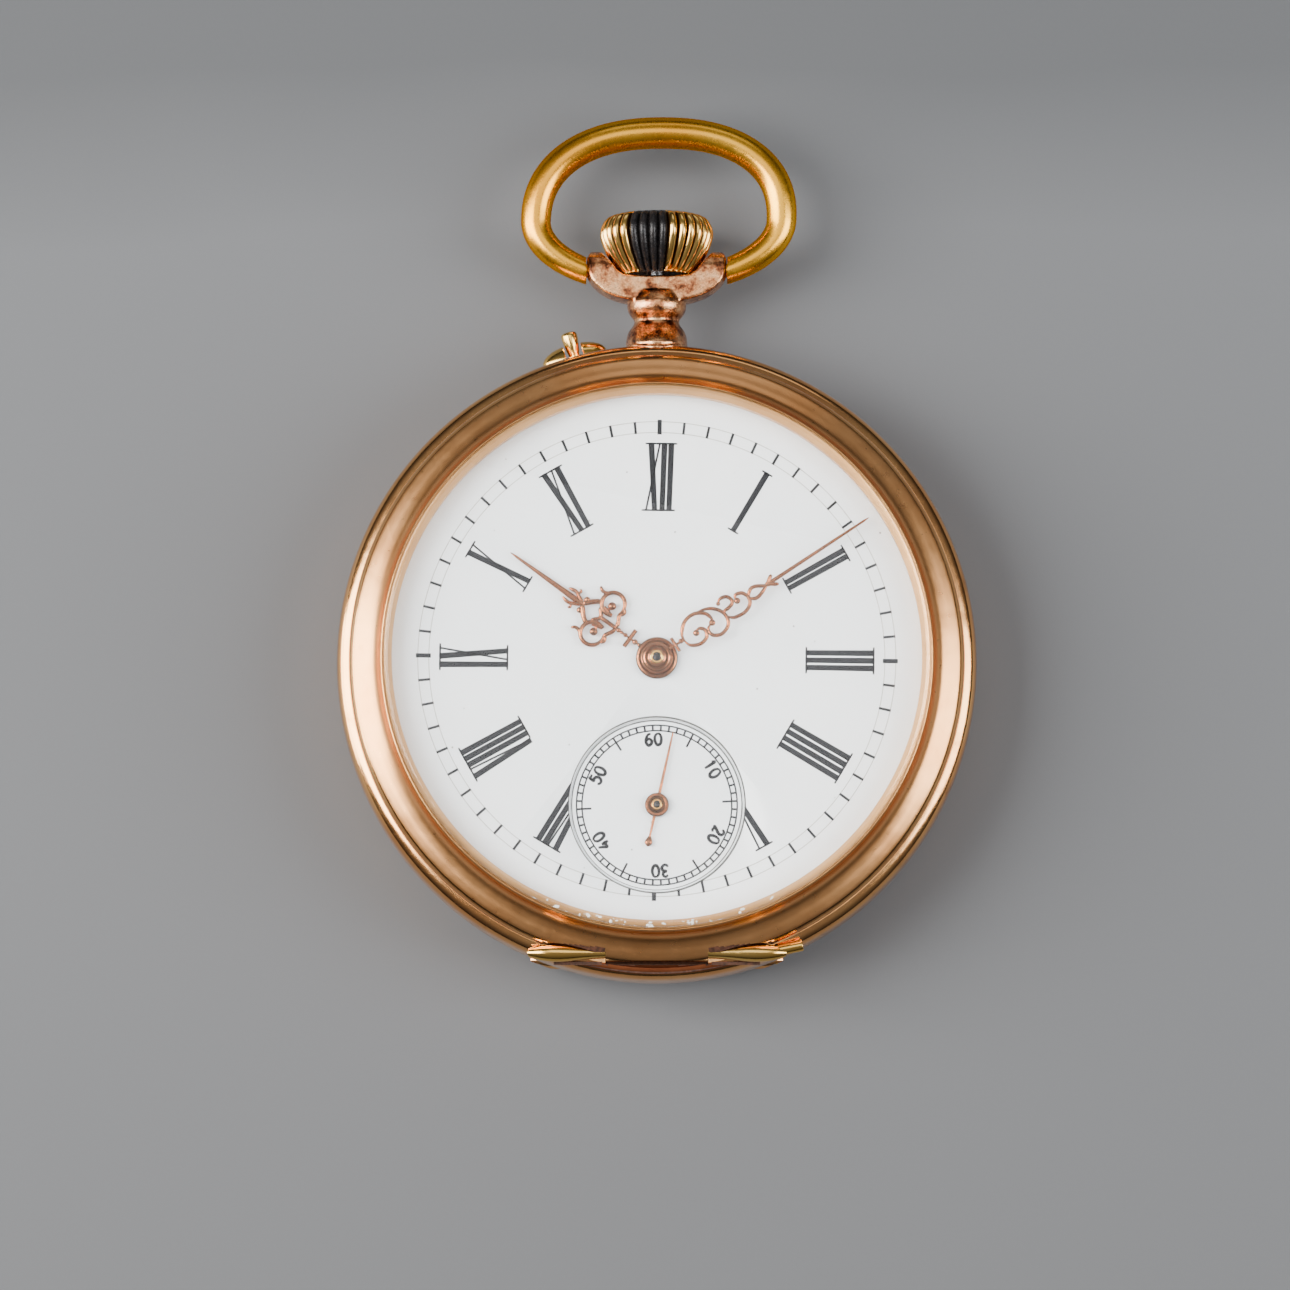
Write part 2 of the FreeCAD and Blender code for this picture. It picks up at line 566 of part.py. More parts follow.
def bridge_plate(first, last, corners):
    """Bridge whose outer edge follows the case from one angle to the other."""
    steps = [polar(BRIDGE_REACH, first)]
    steps.append(polar(BRIDGE_REACH, (first + last) / 2) + polar(BRIDGE_REACH, last))
    steps += corners
    face = face_of(steps, lambda x, y: Vec(x, y, BRIDGE_LOW))
    return face.extrude(Vec(0, 0, BRIDGE_HIGH - BRIDGE_LOW))


def mainplate():
    plate = disc(CENTRE, PLATE_RADIUS, PLATE_LOW, PLATE_HIGH)
    plate = plate.fuse(disc(CENTRE, 20.9, LEDGE_HEIGHT, PLATE_HIGH))
    boss = box((-1.0, 9.9, 5.2), (1.0, 11.0, PLATE_LOW))
    posts = [disc(LEVER_PLACE, 0.5, 4.9, PLATE_LOW), disc(MINUTE_WHEEL_PLACE, 0.4, PLATE_HIGH, 9.3),
             disc(SETTING_WHEEL_PLACE, 0.4, PLATE_HIGH, 9.0)]
    plate = plate.fuse([boss] + posts)
    cuts = [disc(CENTRE, 0.53, 6, 9), disc(BARREL_PLACE, 0.63, 6, 7.0),
            disc(FOURTH_PLACE, 0.55, 6, 9), box((-2.4, 13.5, 6), (2.4, 15.75, 9)),
            box((-1.85, 11.5, 6), (1.85, 13.6, 9)), rod_along_stem(0.85, 15, 21),
            rod_along_stem(0.42, 9.5, 12)]
    cuts += [disc(place, 0.55, 6, 6.85) for place in (THIRD_PLACE, ESCAPE_PLACE, PALLET_PLACE, BALANCE_PLACE)]
    cuts += [disc(polar(DIAL_FEET_REACH, angle), DIAL_FOOT_RADIUS, 6.9, 9) for angle in DIAL_FEET]
    cuts += [disc(place, 0.4, 6, high) for place, _, high in bridge_screw_places()]
    cuts += [disc(polar(CASE_SCREW_REACH, angle), 0.5, 6, 7.6) for angle in CASE_SCREW_ANGLES]
    cuts.append(disc(PALLET_FOOT, 0.3, 6, 6.8))
    return plate.cut(cuts)


def barrel_bridge():
    corners = [(-3.6, 13.8), (-7.8, 10.6), (-8.4, 6.8), (-2.6, -2.2), (2.6, -2.9)]
    plate = bridge_plate(-12, 100.3, corners)
    plate = plate.fuse([rim_wall(-10, 72), disc(BRIDGE_PILLAR, 1.4, BRIDGE_HIGH, PLATE_LOW)])
    cuts = [box((-2.4, 13.6, 3), (2.4, 15.6, 5)), disc(BARREL_PLACE, 0.95, 3, 5),
            disc(CENTRE, 0.32, 3, 5), disc(CLICK_PLACE, 0.3, 3, 5), disc(CROWN_WHEEL_PLACE, 0.3, 3, 5)]
    cuts += [disc(place, 0.4, 3, 7) for place, _, _ in bridge_screw_places()[:3]]
    return plate.cut(cuts).removeSplitter()


def train_bridge():
    corners = [(-4.9, -4.8), (5.0, -4.8)]
    plate = bridge_plate(322, 243, corners)
    plate = plate.cut(disc(BALANCE_PLACE, 7.0, 3, 5)).fuse(rim_wall(247, 318))
    cuts = [disc(place, 0.55, 3.65, 5) for place in (THIRD_PLACE, FOURTH_PLACE, ESCAPE_PLACE)]
    cuts += [disc(place, 0.4, 3, 7) for place, _, _ in bridge_screw_places()[3:5]]
    return plate.cut(cuts).removeSplitter()


def bridge_screw_places():
    """Place, underside of the head's part and end of the shank for each bridge screw."""
    length = 3.9
    places = [polar(19.2, 5), polar(19.2, 62), BRIDGE_PILLAR, polar(19.2, 252), polar(19.2, 314)]
    screws = [(place, BRIDGE_LOW, BRIDGE_LOW + length) for place in places]
    screws.append((COCK_FOOT, COCK_LOW, COCK_LOW + length))
    return screws


def balance_cock():
    arm = bar(COCK_FOOT, BALANCE_PLACE, 2.6, 2.4, COCK_LOW, COCK_HIGH)
    foot = disc(COCK_FOOT, 2.6, COCK_HIGH, PLATE_LOW)
    boss = disc(BALANCE_PLACE, 0.88, 2.6, COCK_LOW)
    cock = arm.fuse([foot, boss])
    return cock.cut([disc(COCK_FOOT, 0.4, 2, 7), disc(BALANCE_PLACE, 0.55, 3.4, 4)]).removeSplitter()


def pallet_bridge():
    low, high = 4.9, 5.17
    arm = bar(PALLET_PLACE, PALLET_FOOT, 0.4, 1.3, low, high)
    foot = disc(PALLET_FOOT, 1.3, high, PLATE_LOW)
    return arm.fuse(foot).cut([disc(PALLET_FOOT, 0.3, 4, 7), disc(PALLET_PLACE, 0.28, 4, 7)]).removeSplitter()


def jewels():
    stones = [ring(place, 0.55, JEWEL_HOLE, PLATE_LOW, 6.85)
              for place in (THIRD_PLACE, ESCAPE_PLACE, PALLET_PLACE, BALANCE_PLACE)]
    stones += [ring(place, 0.55, JEWEL_HOLE, 3.65, BRIDGE_HIGH)
               for place in (THIRD_PLACE, FOURTH_PLACE, ESCAPE_PLACE)]
    stones.append(ring(FOURTH_PLACE, 0.55, ARBOR_RADIUS + 0.03, PLATE_LOW, PLATE_HIGH))
    stones.append(ring(PALLET_PLACE, 0.28, JEWEL_HOLE, 4.9, 5.17))
    stones.append(ring(BALANCE_PLACE, 0.55, JEWEL_HOLE, 3.4, COCK_HIGH))
    return Part.makeCompound(stones)


def bridge_screws():
    return Part.makeCompound([screw(place, low - 0.4, 0.8, 0.4, 0.4, high - low)
                              for place, low, high in bridge_screw_places()])


def small_screws():
    heads = [(CLICK_PLACE, 2.55), (CROWN_WHEEL_PLACE, 2.55), (PALLET_FOOT, 4.55)]
    return Part.makeCompound([screw(place, low, 0.6, 0.35, 0.3, 1.9) for place, low in heads])


def case_screws():
    return Part.makeCompound([screw(polar(CASE_SCREW_REACH, angle), PLATE_LOW - 0.5, 1.0, 0.5, 0.5, 1.2)
                              for angle in CASE_SCREW_ANGLES])


# ---------------------------------------------------------------- barrel and winding work

BARREL_GEAR = Gear(BARREL_PLACE, 80, 0.2)
CROWN_GEAR = Gear(CROWN_WHEEL_PLACE, 34, 0.2)
RATCHET_GEAR = CROWN_GEAR.driving(BARREL_PLACE, 66)


def barrel():
    drum = disc(BARREL_PLACE, 7.6, 4.3, 5.45).fuse(BARREL_GEAR.solid(5.45, 5.9))
    drum = drum.cut(disc(BARREL_PLACE, 7.3, 4.3, 5.5))
    return drum.cut(disc(BARREL_PLACE, 1.03, 5, 6))


def barrel_cover():
    return ring(BARREL_PLACE, 7.3, 1.03, 4.32, 4.55)


def mainspring():
    return spiral(BARREL_PLACE, 1.95, 0.85, 12, 0.15, 4.65, 5.4, 0)


def arbor_square(low, high):
    """The square that carries the ratchet wheel."""
    half = 0.6
    return box((BARREL_PLACE[0] - half, BARREL_PLACE[1] - half, low),
               (BARREL_PLACE[0] + half, BARREL_PLACE[1] + half, high))


def barrel_arbor():
    arbor = stepped_arbor(BARREL_PLACE, [(0.92, 3.45, 4.2), (1.0, 4.2, 5.95), (0.6, 5.95, 6.9)])
    hub = disc(BARREL_PLACE, 1.55, 4.6, 5.45)
    square = arbor_square(WINDING_LOW, WINDING_HIGH)
    return arbor.fuse([hub, square]).cut(disc(BARREL_PLACE, 0.35, 2.9, 4.2))


def ratchet_wheel():
    return RATCHET_GEAR.solid(WINDING_LOW, WINDING_HIGH).cut(arbor_square(2.9, 3.5))


def ratchet_screw():
    return screw(BARREL_PLACE, 2.6, 1.6, 0.35, 0.35, 1.2)


def crown_wheel():
    return CROWN_GEAR.solid(WINDING_LOW, WINDING_HIGH).cut(disc(CROWN_WHEEL_PLACE, 0.33, 2, 4))


def click():
    body = bar(CLICK_PLACE, CLICK_TIP, 1.0, 0.22, WINDING_LOW, 3.4)
    return body.cut(disc(CLICK_PLACE, 0.33, 2, 4))


def click_spring():
    foot = disc(CLICK_SPRING_FOOT, 0.6, WINDING_LOW, BRIDGE_LOW)
    return foot.fuse(bar(CLICK_SPRING_FOOT, (14.7, -1.25), 0.15, 0.1, WINDING_LOW, 3.4))


def upright_to_stem(shape, start_y):
    """Lay a shape built upright along the stem, starting at start_y."""
    shape.rotate(ORIGIN, ALONG_X, -90)
    return shape.translate(Vec(0, start_y, STEM_HEIGHT))


def winding_stem():
    shaft = rod_along_stem(STEM_RADIUS, 13.7, CROWN_BASE_Y)
    square = box((-0.42, 11.2, STEM_HEIGHT - 0.42), (0.42, 13.7, STEM_HEIGHT + 0.42))
    parts = [square, rod_along_stem(0.39, 10.0, 11.2), rod_along_stem(0.56, CROWN_BASE_Y, CROWN_TOP_Y - 0.5)]
    return shaft.fuse(parts)


def winding_pinion():
    body = Gear(CENTRE, 20, 0.2).solid(0, 1.5).cut(disc(CENTRE, STEM_RADIUS, 0, 2))
    return upright_to_stem(body, 13.8)


def sliding_pinion():
    body = Gear(CENTRE, 16, 0.19).solid(0, 1.7)
    body = body.cut(ring(CENTRE, 3, 1.1, 0.6, 1.0)).cut(box((-0.42, -0.42, -1), (0.42, 0.42, 2)))
    return upright_to_stem(body, 11.95)


def setting_lever():
    low, high = 5.5, 6.1
    body = bar(LEVER_PLACE, (-4.66, 17.7), 1.1, 0.7, low, high)
    body = body.fuse(bar(LEVER_PLACE, (-2.3, 12.9), 0.8, 0.35, low, high))
    return body.cut(disc(LEVER_PLACE, 0.53, 5, 7)).removeSplitter()


def setting_lever_spring():
    foot = disc((-12.4, 10.4), 0.7, 5.6, PLATE_LOW)
    return foot.fuse(bar((-12.4, 10.4), (-5.2, 12.0), 0.2, 0.12, 5.6, 6.0))


# ---------------------------------------------------------------- going train

THIRD_PINION_GEAR = Gear(CENTRE, 80, 0.16).driving(THIRD_PLACE, 10)
FOURTH_PINION_GEAR = Gear(THIRD_PLACE, 75, 0.15).driving(FOURTH_PLACE, 10)
ESCAPE_PINION_GEAR = Gear(FOURTH_PLACE, 80, 0.13).driving(ESCAPE_PLACE, 8)


def train_wheel(gear, hub, low, high, arms=5):
    wheel = gear.solid(low, high)
    rim = gear.radius - gear.module * 5
    wheel = crossed_out(wheel, gear.place, hub, rim, arms, gear.radius * 0.13, low, high)
    return wheel.cut(disc(gear.place, ARBOR_RADIUS, low, high))


def centre_wheel():
    wheel = Gear(CENTRE, 80, 0.16)
    body = crossed_out(wheel.solid(6.02, 6.25), CENTRE, 1.4, 5.5, 5, 0.8, 6.02, 6.25)
    return body.cut(disc(CENTRE, 0.5, 6, 7))


def centre_pinion():
    arbor = stepped_arbor(CENTRE, [(0.3, 3.6, 4.15), (0.5, 4.15, 8.35), (0.33, 8.35, 11.62)])
    return arbor.fuse(BARREL_GEAR.driving(CENTRE, 10).solid(5.3, 6.0))


def third_wheel():
    return train_wheel(Gear(THIRD_PLACE, 75, 0.15), 0.9, 5.25, 5.4)


def third_pinion():
    arbor = stepped_arbor(THIRD_PLACE, [(PIVOT_RADIUS, 3.7, 4.15), (ARBOR_RADIUS, 4.15, 6.35),
                                        (PIVOT_RADIUS, 6.35, 6.75)])
    return arbor.fuse(THIRD_PINION_GEAR.solid(5.5, 6.35))


def fourth_wheel():
    return train_wheel(Gear(FOURTH_PLACE, 80, 0.13), 0.8, 4.4, 4.6)


def fourth_pinion():
    arbor = stepped_arbor(FOURTH_PLACE, [(PIVOT_RADIUS, 3.7, 4.15), (ARBOR_RADIUS, 4.15, 10.65)])
    return arbor.fuse(FOURTH_PINION_GEAR.solid(4.95, 5.6))


def escape_wheel():
    """Fifteen club teeth leaning into the direction of travel."""
    teeth = 15
    form = ((0.0, 2.25), (0.42, 2.85), (0.52, 3.0), (0.74, 2.93), (0.66, 2.62), (0.5, 2.25))
    corners = []
    for tooth in range(teeth):
        for share, radius in form:
            corners.append(polar(radius, 360.0 * (tooth + share) / teeth, ESCAPE_PLACE))
    wheel = crossed_out(slab(corners, 5.5, 5.7), ESCAPE_PLACE, 0.6, 1.85, 4, 0.4, 5.5, 5.7)
    return wheel.cut(disc(ESCAPE_PLACE, ARBOR_RADIUS, 5, 6))


def escape_pinion():
    arbor = stepped_arbor(ESCAPE_PLACE, [(PIVOT_RADIUS, 3.7, 4.15), (ARBOR_RADIUS, 4.15, 6.35),
                                         (PIVOT_RADIUS, 6.35, 6.75)])
    return arbor.fuse(ESCAPE_PINION_GEAR.solid(4.2, 4.85))


# The line from the escape wheel through the pallets to the balance
LINE_ANGLE = math.degrees(math.atan2(PALLET_PLACE[1] - ESCAPE_PLACE[1], PALLET_PLACE[0] - ESCAPE_PLACE[0]))
PALLET_SPREAD = 36.0
PALLET_REACH = 3.36


def pallet_tips():
    return [polar(PALLET_REACH, LINE_ANGLE + sign * PALLET_SPREAD, ESCAPE_PLACE) for sign in (1, -1)]


def pallet_fork():
    low, high = 5.75, 5.95
    parts = [bar(PALLET_PLACE, tip, 0.3, 0.2, low, high) for tip in pallet_tips()]
    prong_base = polar(4.1, LINE_ANGLE, PALLET_PLACE)
    parts.append(bar(PALLET_PLACE, prong_base, 0.28, 0.16, low, high))
    for sign in (4.5, -4.5):
        parts.append(bar(prong_base, polar(4.72, LINE_ANGLE + sign, PALLET_PLACE), 0.16, 0.12, low, high))
    arbor = stepped_arbor(PALLET_PLACE, [(PIVOT_RADIUS, 4.95, 5.25), (ARBOR_RADIUS, 5.25, 6.35),
                                         (PIVOT_RADIUS, 6.35, 6.75)])
    return arbor.fuse(parts).removeSplitter()


def pallet_stones():
    stones = []
    for tip in pallet_tips():
        stone = box((tip[0] - 0.11, tip[1] - 0.11, 5.48), (tip[0] + 0.11, tip[1] + 0.11, 5.75))
        stone.rotate(Vec(tip[0], tip[1], 0), UP, LINE_ANGLE)
        stones.append(stone)
    return Part.makeCompound(stones)


def balance_wheel():
    rim = ring(BALANCE_PLACE, 5.7, 5.0, 4.25, 4.78)
    arm = bar(polar(5.2, 20, BALANCE_PLACE), polar(-5.2, 20, BALANCE_PLACE), 0.4, 0.4, 4.35, 4.65)
    hub = disc(BALANCE_PLACE, 1.0, 4.35, 4.65)
    return rim.fuse([arm, hub]).cut(disc(BALANCE_PLACE, 0.3, 4, 5)).removeSplitter()


def balance_screws():
    count = 14
    screws = []
    for index in range(count):
        angle = 360.0 * (index + 0.5) / count
        outward = Vec(*polar(1, angle), 0)
        start = Vec(BALANCE_PLACE[0], BALANCE_PLACE[1], 4.515) + outward * 5.7
        screws.append(Part.makeCylinder(0.24, 0.5, start, outward))
    return Part.makeCompound(screws)


def balance_staff():
    staff = stepped_arbor(BALANCE_PLACE, [(PIVOT_RADIUS, 3.45, 3.92), (0.3, 3.92, 6.3),
                                          (PIVOT_RADIUS, 6.3, 6.75)])
    roller = disc(BALANCE_PLACE, 1.0, 5.3, 5.5)
    jewel_pin = disc(polar(0.72, LINE_ANGLE + 180, BALANCE_PLACE), 0.12, 5.5, 5.9)
    return staff.fuse([roller, jewel_pin])


def hairspring():
    strip = spiral(BALANCE_PLACE, 0.55, 0.3, 18, 0.06, 3.96, 4.12, 104)
    stud = disc(polar(3.22, 104, BALANCE_PLACE), 0.2, COCK_HIGH, 4.12)
    return strip.fuse(stud)


def regulator():
    index = ring(BALANCE_PLACE, 1.5, 0.91, 2.62, 2.87)
    pointer = bar(polar(1.2, 104, BALANCE_PLACE), polar(5.8, 104, BALANCE_PLACE), 0.32, 0.12, 2.62, 2.87)
    return index.fuse(pointer.cut(disc(BALANCE_PLACE, 0.91, 2, 3))).removeSplitter()


# ---------------------------------------------------------------- motion work

CANNON_GEAR = Gear(CENTRE, 12, 0.15)
MINUTE_GEAR = CANNON_GEAR.driving(MINUTE_WHEEL_PLACE, 36)
MINUTE_PINION_GEAR = Gear(MINUTE_WHEEL_PLACE, 10, 0.144)
HOUR_GEAR = MINUTE_PINION_GEAR.driving(CENTRE, 40)
SETTING_GEAR = MINUTE_GEAR.driving(SETTING_WHEEL_PLACE, 40)


def cannon_pinion():
    body = CANNON_GEAR.solid(8.42, 8.75).fuse([disc(CENTRE, 0.75, 8.75, 11.1), disc(CENTRE, 0.5, 11.1, 11.5)])
    return body.cut(disc(CENTRE, 0.33, 8, 12))


def minute_wheel():
    wheel = MINUTE_GEAR.solid(8.45, 8.7).fuse(MINUTE_PINION_GEAR.solid(8.7, 9.25))
    return wheel.cut(disc(MINUTE_WHEEL_PLACE, 0.43, 8, 10))


def setting_wheel():
    return SETTING_GEAR.solid(8.45, 8.7).cut(disc(SETTING_WHEEL_PLACE, 0.43, 8, 10))


def hour_wheel():
    wheel = HOUR_GEAR.solid(8.85, 9.15).fuse(disc(CENTRE, 1.1, 9.15, 11.0))
    return wheel.cut(disc(CENTRE, 0.78, 8, 12))


# ---------------------------------------------------------------- build

def build():
    shell, core = crown_parts()
    makers = (case_middle, pendant, bow, bezel, crystal, back_cover, dust_cover, hinge_pins, setting_pin,
              setting_pin_guard, dial, seconds_dial, hour_hand, minute_hand, seconds_hand, mainplate,
              barrel_bridge, train_bridge, balance_cock, pallet_bridge, jewels, bridge_screws, small_screws,
              case_screws, barrel, barrel_cover, mainspring, barrel_arbor, ratchet_wheel, ratchet_screw,
              crown_wheel, click, click_spring, winding_stem, winding_pinion, sliding_pinion, setting_lever,
              setting_lever_spring, setting_wheel, centre_wheel, centre_pinion, third_wheel, third_pinion,
              fourth_wheel, fourth_pinion, escape_wheel, escape_pinion, pallet_fork, pallet_stones,
              balance_wheel, balance_screws, balance_staff, hairspring, regulator, cannon_pinion,
              minute_wheel, hour_wheel)
    pieces = {maker.__name__: maker() for maker in makers}
    pieces["crown_shell"] = shell
    pieces["crown_core"] = core
    os.makedirs("parts", exist_ok=True)
    for name, shape in pieces.items():
        shape.exportStep(os.path.join("parts", name + ".step"))
        print(name, len(shape.Solids), round(shape.Volume, 2), shape.isValid())


build()
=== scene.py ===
"""Looks of an open face pocket watch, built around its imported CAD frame. Shapes are in millimetres."""
import json
import math
import random

import bmesh
import bpy
from mathutils import Matrix, Vector


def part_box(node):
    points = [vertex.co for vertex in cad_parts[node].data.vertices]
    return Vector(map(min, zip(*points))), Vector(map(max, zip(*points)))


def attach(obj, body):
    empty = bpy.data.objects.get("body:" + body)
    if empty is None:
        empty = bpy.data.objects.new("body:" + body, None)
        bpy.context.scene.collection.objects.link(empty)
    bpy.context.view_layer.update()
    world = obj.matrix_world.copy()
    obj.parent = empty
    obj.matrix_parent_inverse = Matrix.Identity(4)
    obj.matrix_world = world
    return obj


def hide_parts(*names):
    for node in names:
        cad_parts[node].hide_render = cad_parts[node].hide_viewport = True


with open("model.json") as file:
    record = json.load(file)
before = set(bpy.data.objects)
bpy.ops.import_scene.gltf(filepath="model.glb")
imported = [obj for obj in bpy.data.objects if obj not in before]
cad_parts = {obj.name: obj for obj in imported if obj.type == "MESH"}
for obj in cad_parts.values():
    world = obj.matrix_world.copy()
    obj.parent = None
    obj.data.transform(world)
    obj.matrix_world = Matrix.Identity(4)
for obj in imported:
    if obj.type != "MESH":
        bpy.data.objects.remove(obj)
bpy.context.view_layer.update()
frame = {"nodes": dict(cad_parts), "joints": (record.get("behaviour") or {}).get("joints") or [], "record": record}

MM = 0.001
SCENE = bpy.context.scene
random.seed(7)


# ------------------------------------------------------------------ positions read from the frame

def low(node):
    return [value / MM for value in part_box(node)[0]]


def high(node):
    return [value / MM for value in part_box(node)[1]]


def centre_of(node, axis):
    """Middle of a node's box along one axis."""
    return (low(node)[axis] + high(node)[axis]) / 2


STEM_Z = centre_of("winding_stem", 2)
CASE_R = high("case_middle")[0]
DIAL_TOP = high("dial")[2]
SECONDS_TOP = high("seconds_dial")[2]
SUB_X = centre_of("seconds_dial", 0)
SUB_Y = centre_of("seconds_dial", 1)
SUB_R = (high("seconds_dial")[0] - low("seconds_dial")[0]) / 2
CROWN_LOW = low("crown_shell")[1]
CROWN_HIGH = high("crown_shell")[1]
CROWN_R = high("crown_shell")[0]
GLASS_LOW = low("crystal")[2]
GLASS_HIGH = high("crystal")[2]
PINS_LOW = low("hinge_pins")
PINS_HIGH = high("hinge_pins")
HINGE_Y = centre_of("hinge_pins", 1)
PIN_R = (PINS_HIGH[1] - PINS_LOW[1]) / 2
BEZEL_HINGE_Z = PINS_HIGH[2] - PIN_R
BACK_HINGE_Z = PINS_LOW[2] + PIN_R
BACK_SEAM = high("back_cover")[2]
HOUR_Z = centre_of("hour_hand", 2)
MINUTE_Z = centre_of("minute_hand", 2)
SECONDS_Z = centre_of("seconds_hand", 2)
JOINTS = {joint["name"]: joint for joint in frame["joints"]}


# ------------------------------------------------------------------ node helpers

class Nodes:
    """Small helper that builds one node material, in millimetre object coordinates."""

    def __init__(self, name):
        self.material = bpy.data.materials.new(name)
        self.material.use_nodes = True
        self.tree = self.material.node_tree
        self.shader = self.tree.nodes["Principled BSDF"]
        self.output = self.tree.nodes["Material Output"]
        coordinates = self.add("ShaderNodeTexCoord")
        self.millimetres = self.mapping(coordinates.outputs["Object"], 1 / MM)

    def add(self, kind, **settings):
        node = self.tree.nodes.new(kind)
        for key, value in settings.items():
            setattr(node, key, value)
        return node

    def join(self, source, target):
        self.tree.links.new(source, target)

    def mapping(self, vector, scale, location=(0, 0, 0), rotation=(0, 0, 0)):
        node = self.add("ShaderNodeMapping")
        node.inputs["Scale"].default_value = scale if isinstance(scale, tuple) else (scale,) * 3
        node.inputs["Location"].default_value = location
        node.inputs["Rotation"].default_value = rotation
        self.join(vector, node.inputs["Vector"])
        return node.outputs["Vector"]

    def noise(self, scale, detail=4.0, roughness=0.55, vector=None, distortion=0.0):
        node = self.add("ShaderNodeTexNoise")
        node.inputs["Scale"].default_value = scale
        node.inputs["Detail"].default_value = detail
        node.inputs["Roughness"].default_value = roughness
        node.inputs["Distortion"].default_value = distortion
        self.join(vector or self.millimetres, node.inputs["Vector"])
        return node.outputs["Fac"]

    def ramp(self, value, *stops):
        """Colour ramp from (position, value or colour) stops."""
        node = self.add("ShaderNodeValToRGB")
        band = node.color_ramp
        while len(band.elements) < len(stops):
            band.elements.new(0.5)
        for element, (place, colour) in zip(band.elements, stops):
            element.position = place
            if not isinstance(colour, tuple):
                colour = (colour, colour, colour)
            element.color = (*colour[:3], 1.0)
        self.join(value, node.inputs["Fac"])
        return node.outputs["Color"]

    def mix(self, factor, first, second, blend="MIX"):
        node = self.add("ShaderNodeMix", data_type="RGBA", blend_type=blend)
        for socket, value in (("Factor_Float", factor), ("A_Color", first), ("B_Color", second)):
            target = next(s for s in node.inputs if s.identifier == socket)
            if isinstance(value, bpy.types.NodeSocket):
                self.join(value, target)
            elif isinstance(value, tuple):
                target.default_value = (*value[:3], 1.0)
            else:
                target.default_value = value
        return next(s for s in node.outputs if s.identifier == "Result_Color")

    def math(self, operation, first, second=0.0, clamp=False):
        node = self.add("ShaderNodeMath", operation=operation, use_clamp=clamp)
        for index, value in enumerate((first, second)):
            if isinstance(value, bpy.types.NodeSocket):
                self.join(value, node.inputs[index])
            else:
                node.inputs[index].default_value = value
        return node.outputs["Value"]

    def span(self, value, first, last):
        """Stretch a 0 to 1 value onto a range."""
        return self.math("ADD", self.math("MULTIPLY", value, last - first), first)

    def bump(self, height, strength, distance, normal=None):
        node = self.add("ShaderNodeBump")
        node.inputs["Strength"].default_value = strength
        node.inputs["Distance"].default_value = distance * MM
        self.join(height, node.inputs["Height"])
        if normal is not None:
            self.join(normal, node.inputs["Normal"])
        return node.outputs["Normal"]

    def scratches(self, density=1.0, seed=0.0):
        """Fine crossing hairlines, white on black."""
        lines = None
        for index, angle in enumerate((0.35, 1.3, 2.2)):
            turned = self.mapping(self.millimetres, 1.0, (seed + index * 5.1, 2.3, 0), (0.2, 0.1, angle))
            vector = self.mapping(turned, (0.06, 4.5 * density, 4.5 * density))
            streak = self.ramp(self.noise(1.0, 2.0, 0.5, vector, 0.4), (0.66, 0.0), (0.70, 1.0))
            lines = streak if lines is None else self.mix(1.0, lines, streak, "LIGHTEN")
        return lines

    def set(self, **values):
        for key, value in values.items():
            socket = self.shader.inputs[key.replace("_", " ")]
            if isinstance(value, bpy.types.NodeSocket):
                self.join(value, socket)
            elif isinstance(value, tuple):
                socket.default_value = (*value[:3], 1.0)
            else:
                socket.default_value = value


def polished_metal(name, bright, warm, dark, rough=(0.12, 0.26), tarnish=(0.62, 0.8), hairlines=0.35,
                   stain_scale=0.55, edge=None):
    """Worn polished metal: tint drift, dark tarnish patches, hairline scratches and soft dents."""
    nodes = Nodes(name)
    drift = nodes.ramp(nodes.noise(0.16, 3.0), (0.35, bright), (0.68, warm))
    stain = nodes.ramp(nodes.noise(stain_scale, 6.0, 0.65), (tarnish[0], 0.0), (tarnish[1], 1.0))
    lines = nodes.scratches()
    colour = nodes.mix(nodes.math("MULTIPLY", stain, 0.55), drift, dark)
    grain = nodes.noise(9.0, 5.0, 0.6)
    smear = nodes.noise(1.3, 4.0, 0.6)
    roughness = nodes.span(smear, rough[0], rough[1])
    roughness = nodes.math("ADD", roughness, nodes.math("MULTIPLY", lines, 0.04))
    roughness = nodes.math("ADD", roughness, nodes.math("MULTIPLY", stain, 0.10), True)
    normal = nodes.bump(nodes.noise(0.35, 2.0), 0.35, 0.09)
    normal = nodes.bump(grain, 0.10, 0.01, normal)
    normal = nodes.bump(lines, hairlines * 0.3, 0.006, normal)
    nodes.set(Base_Color=colour, Metallic=1.0, Roughness=roughness, Normal=normal)
    if edge:
        nodes.set(Specular_Tint=edge)
    return nodes.material


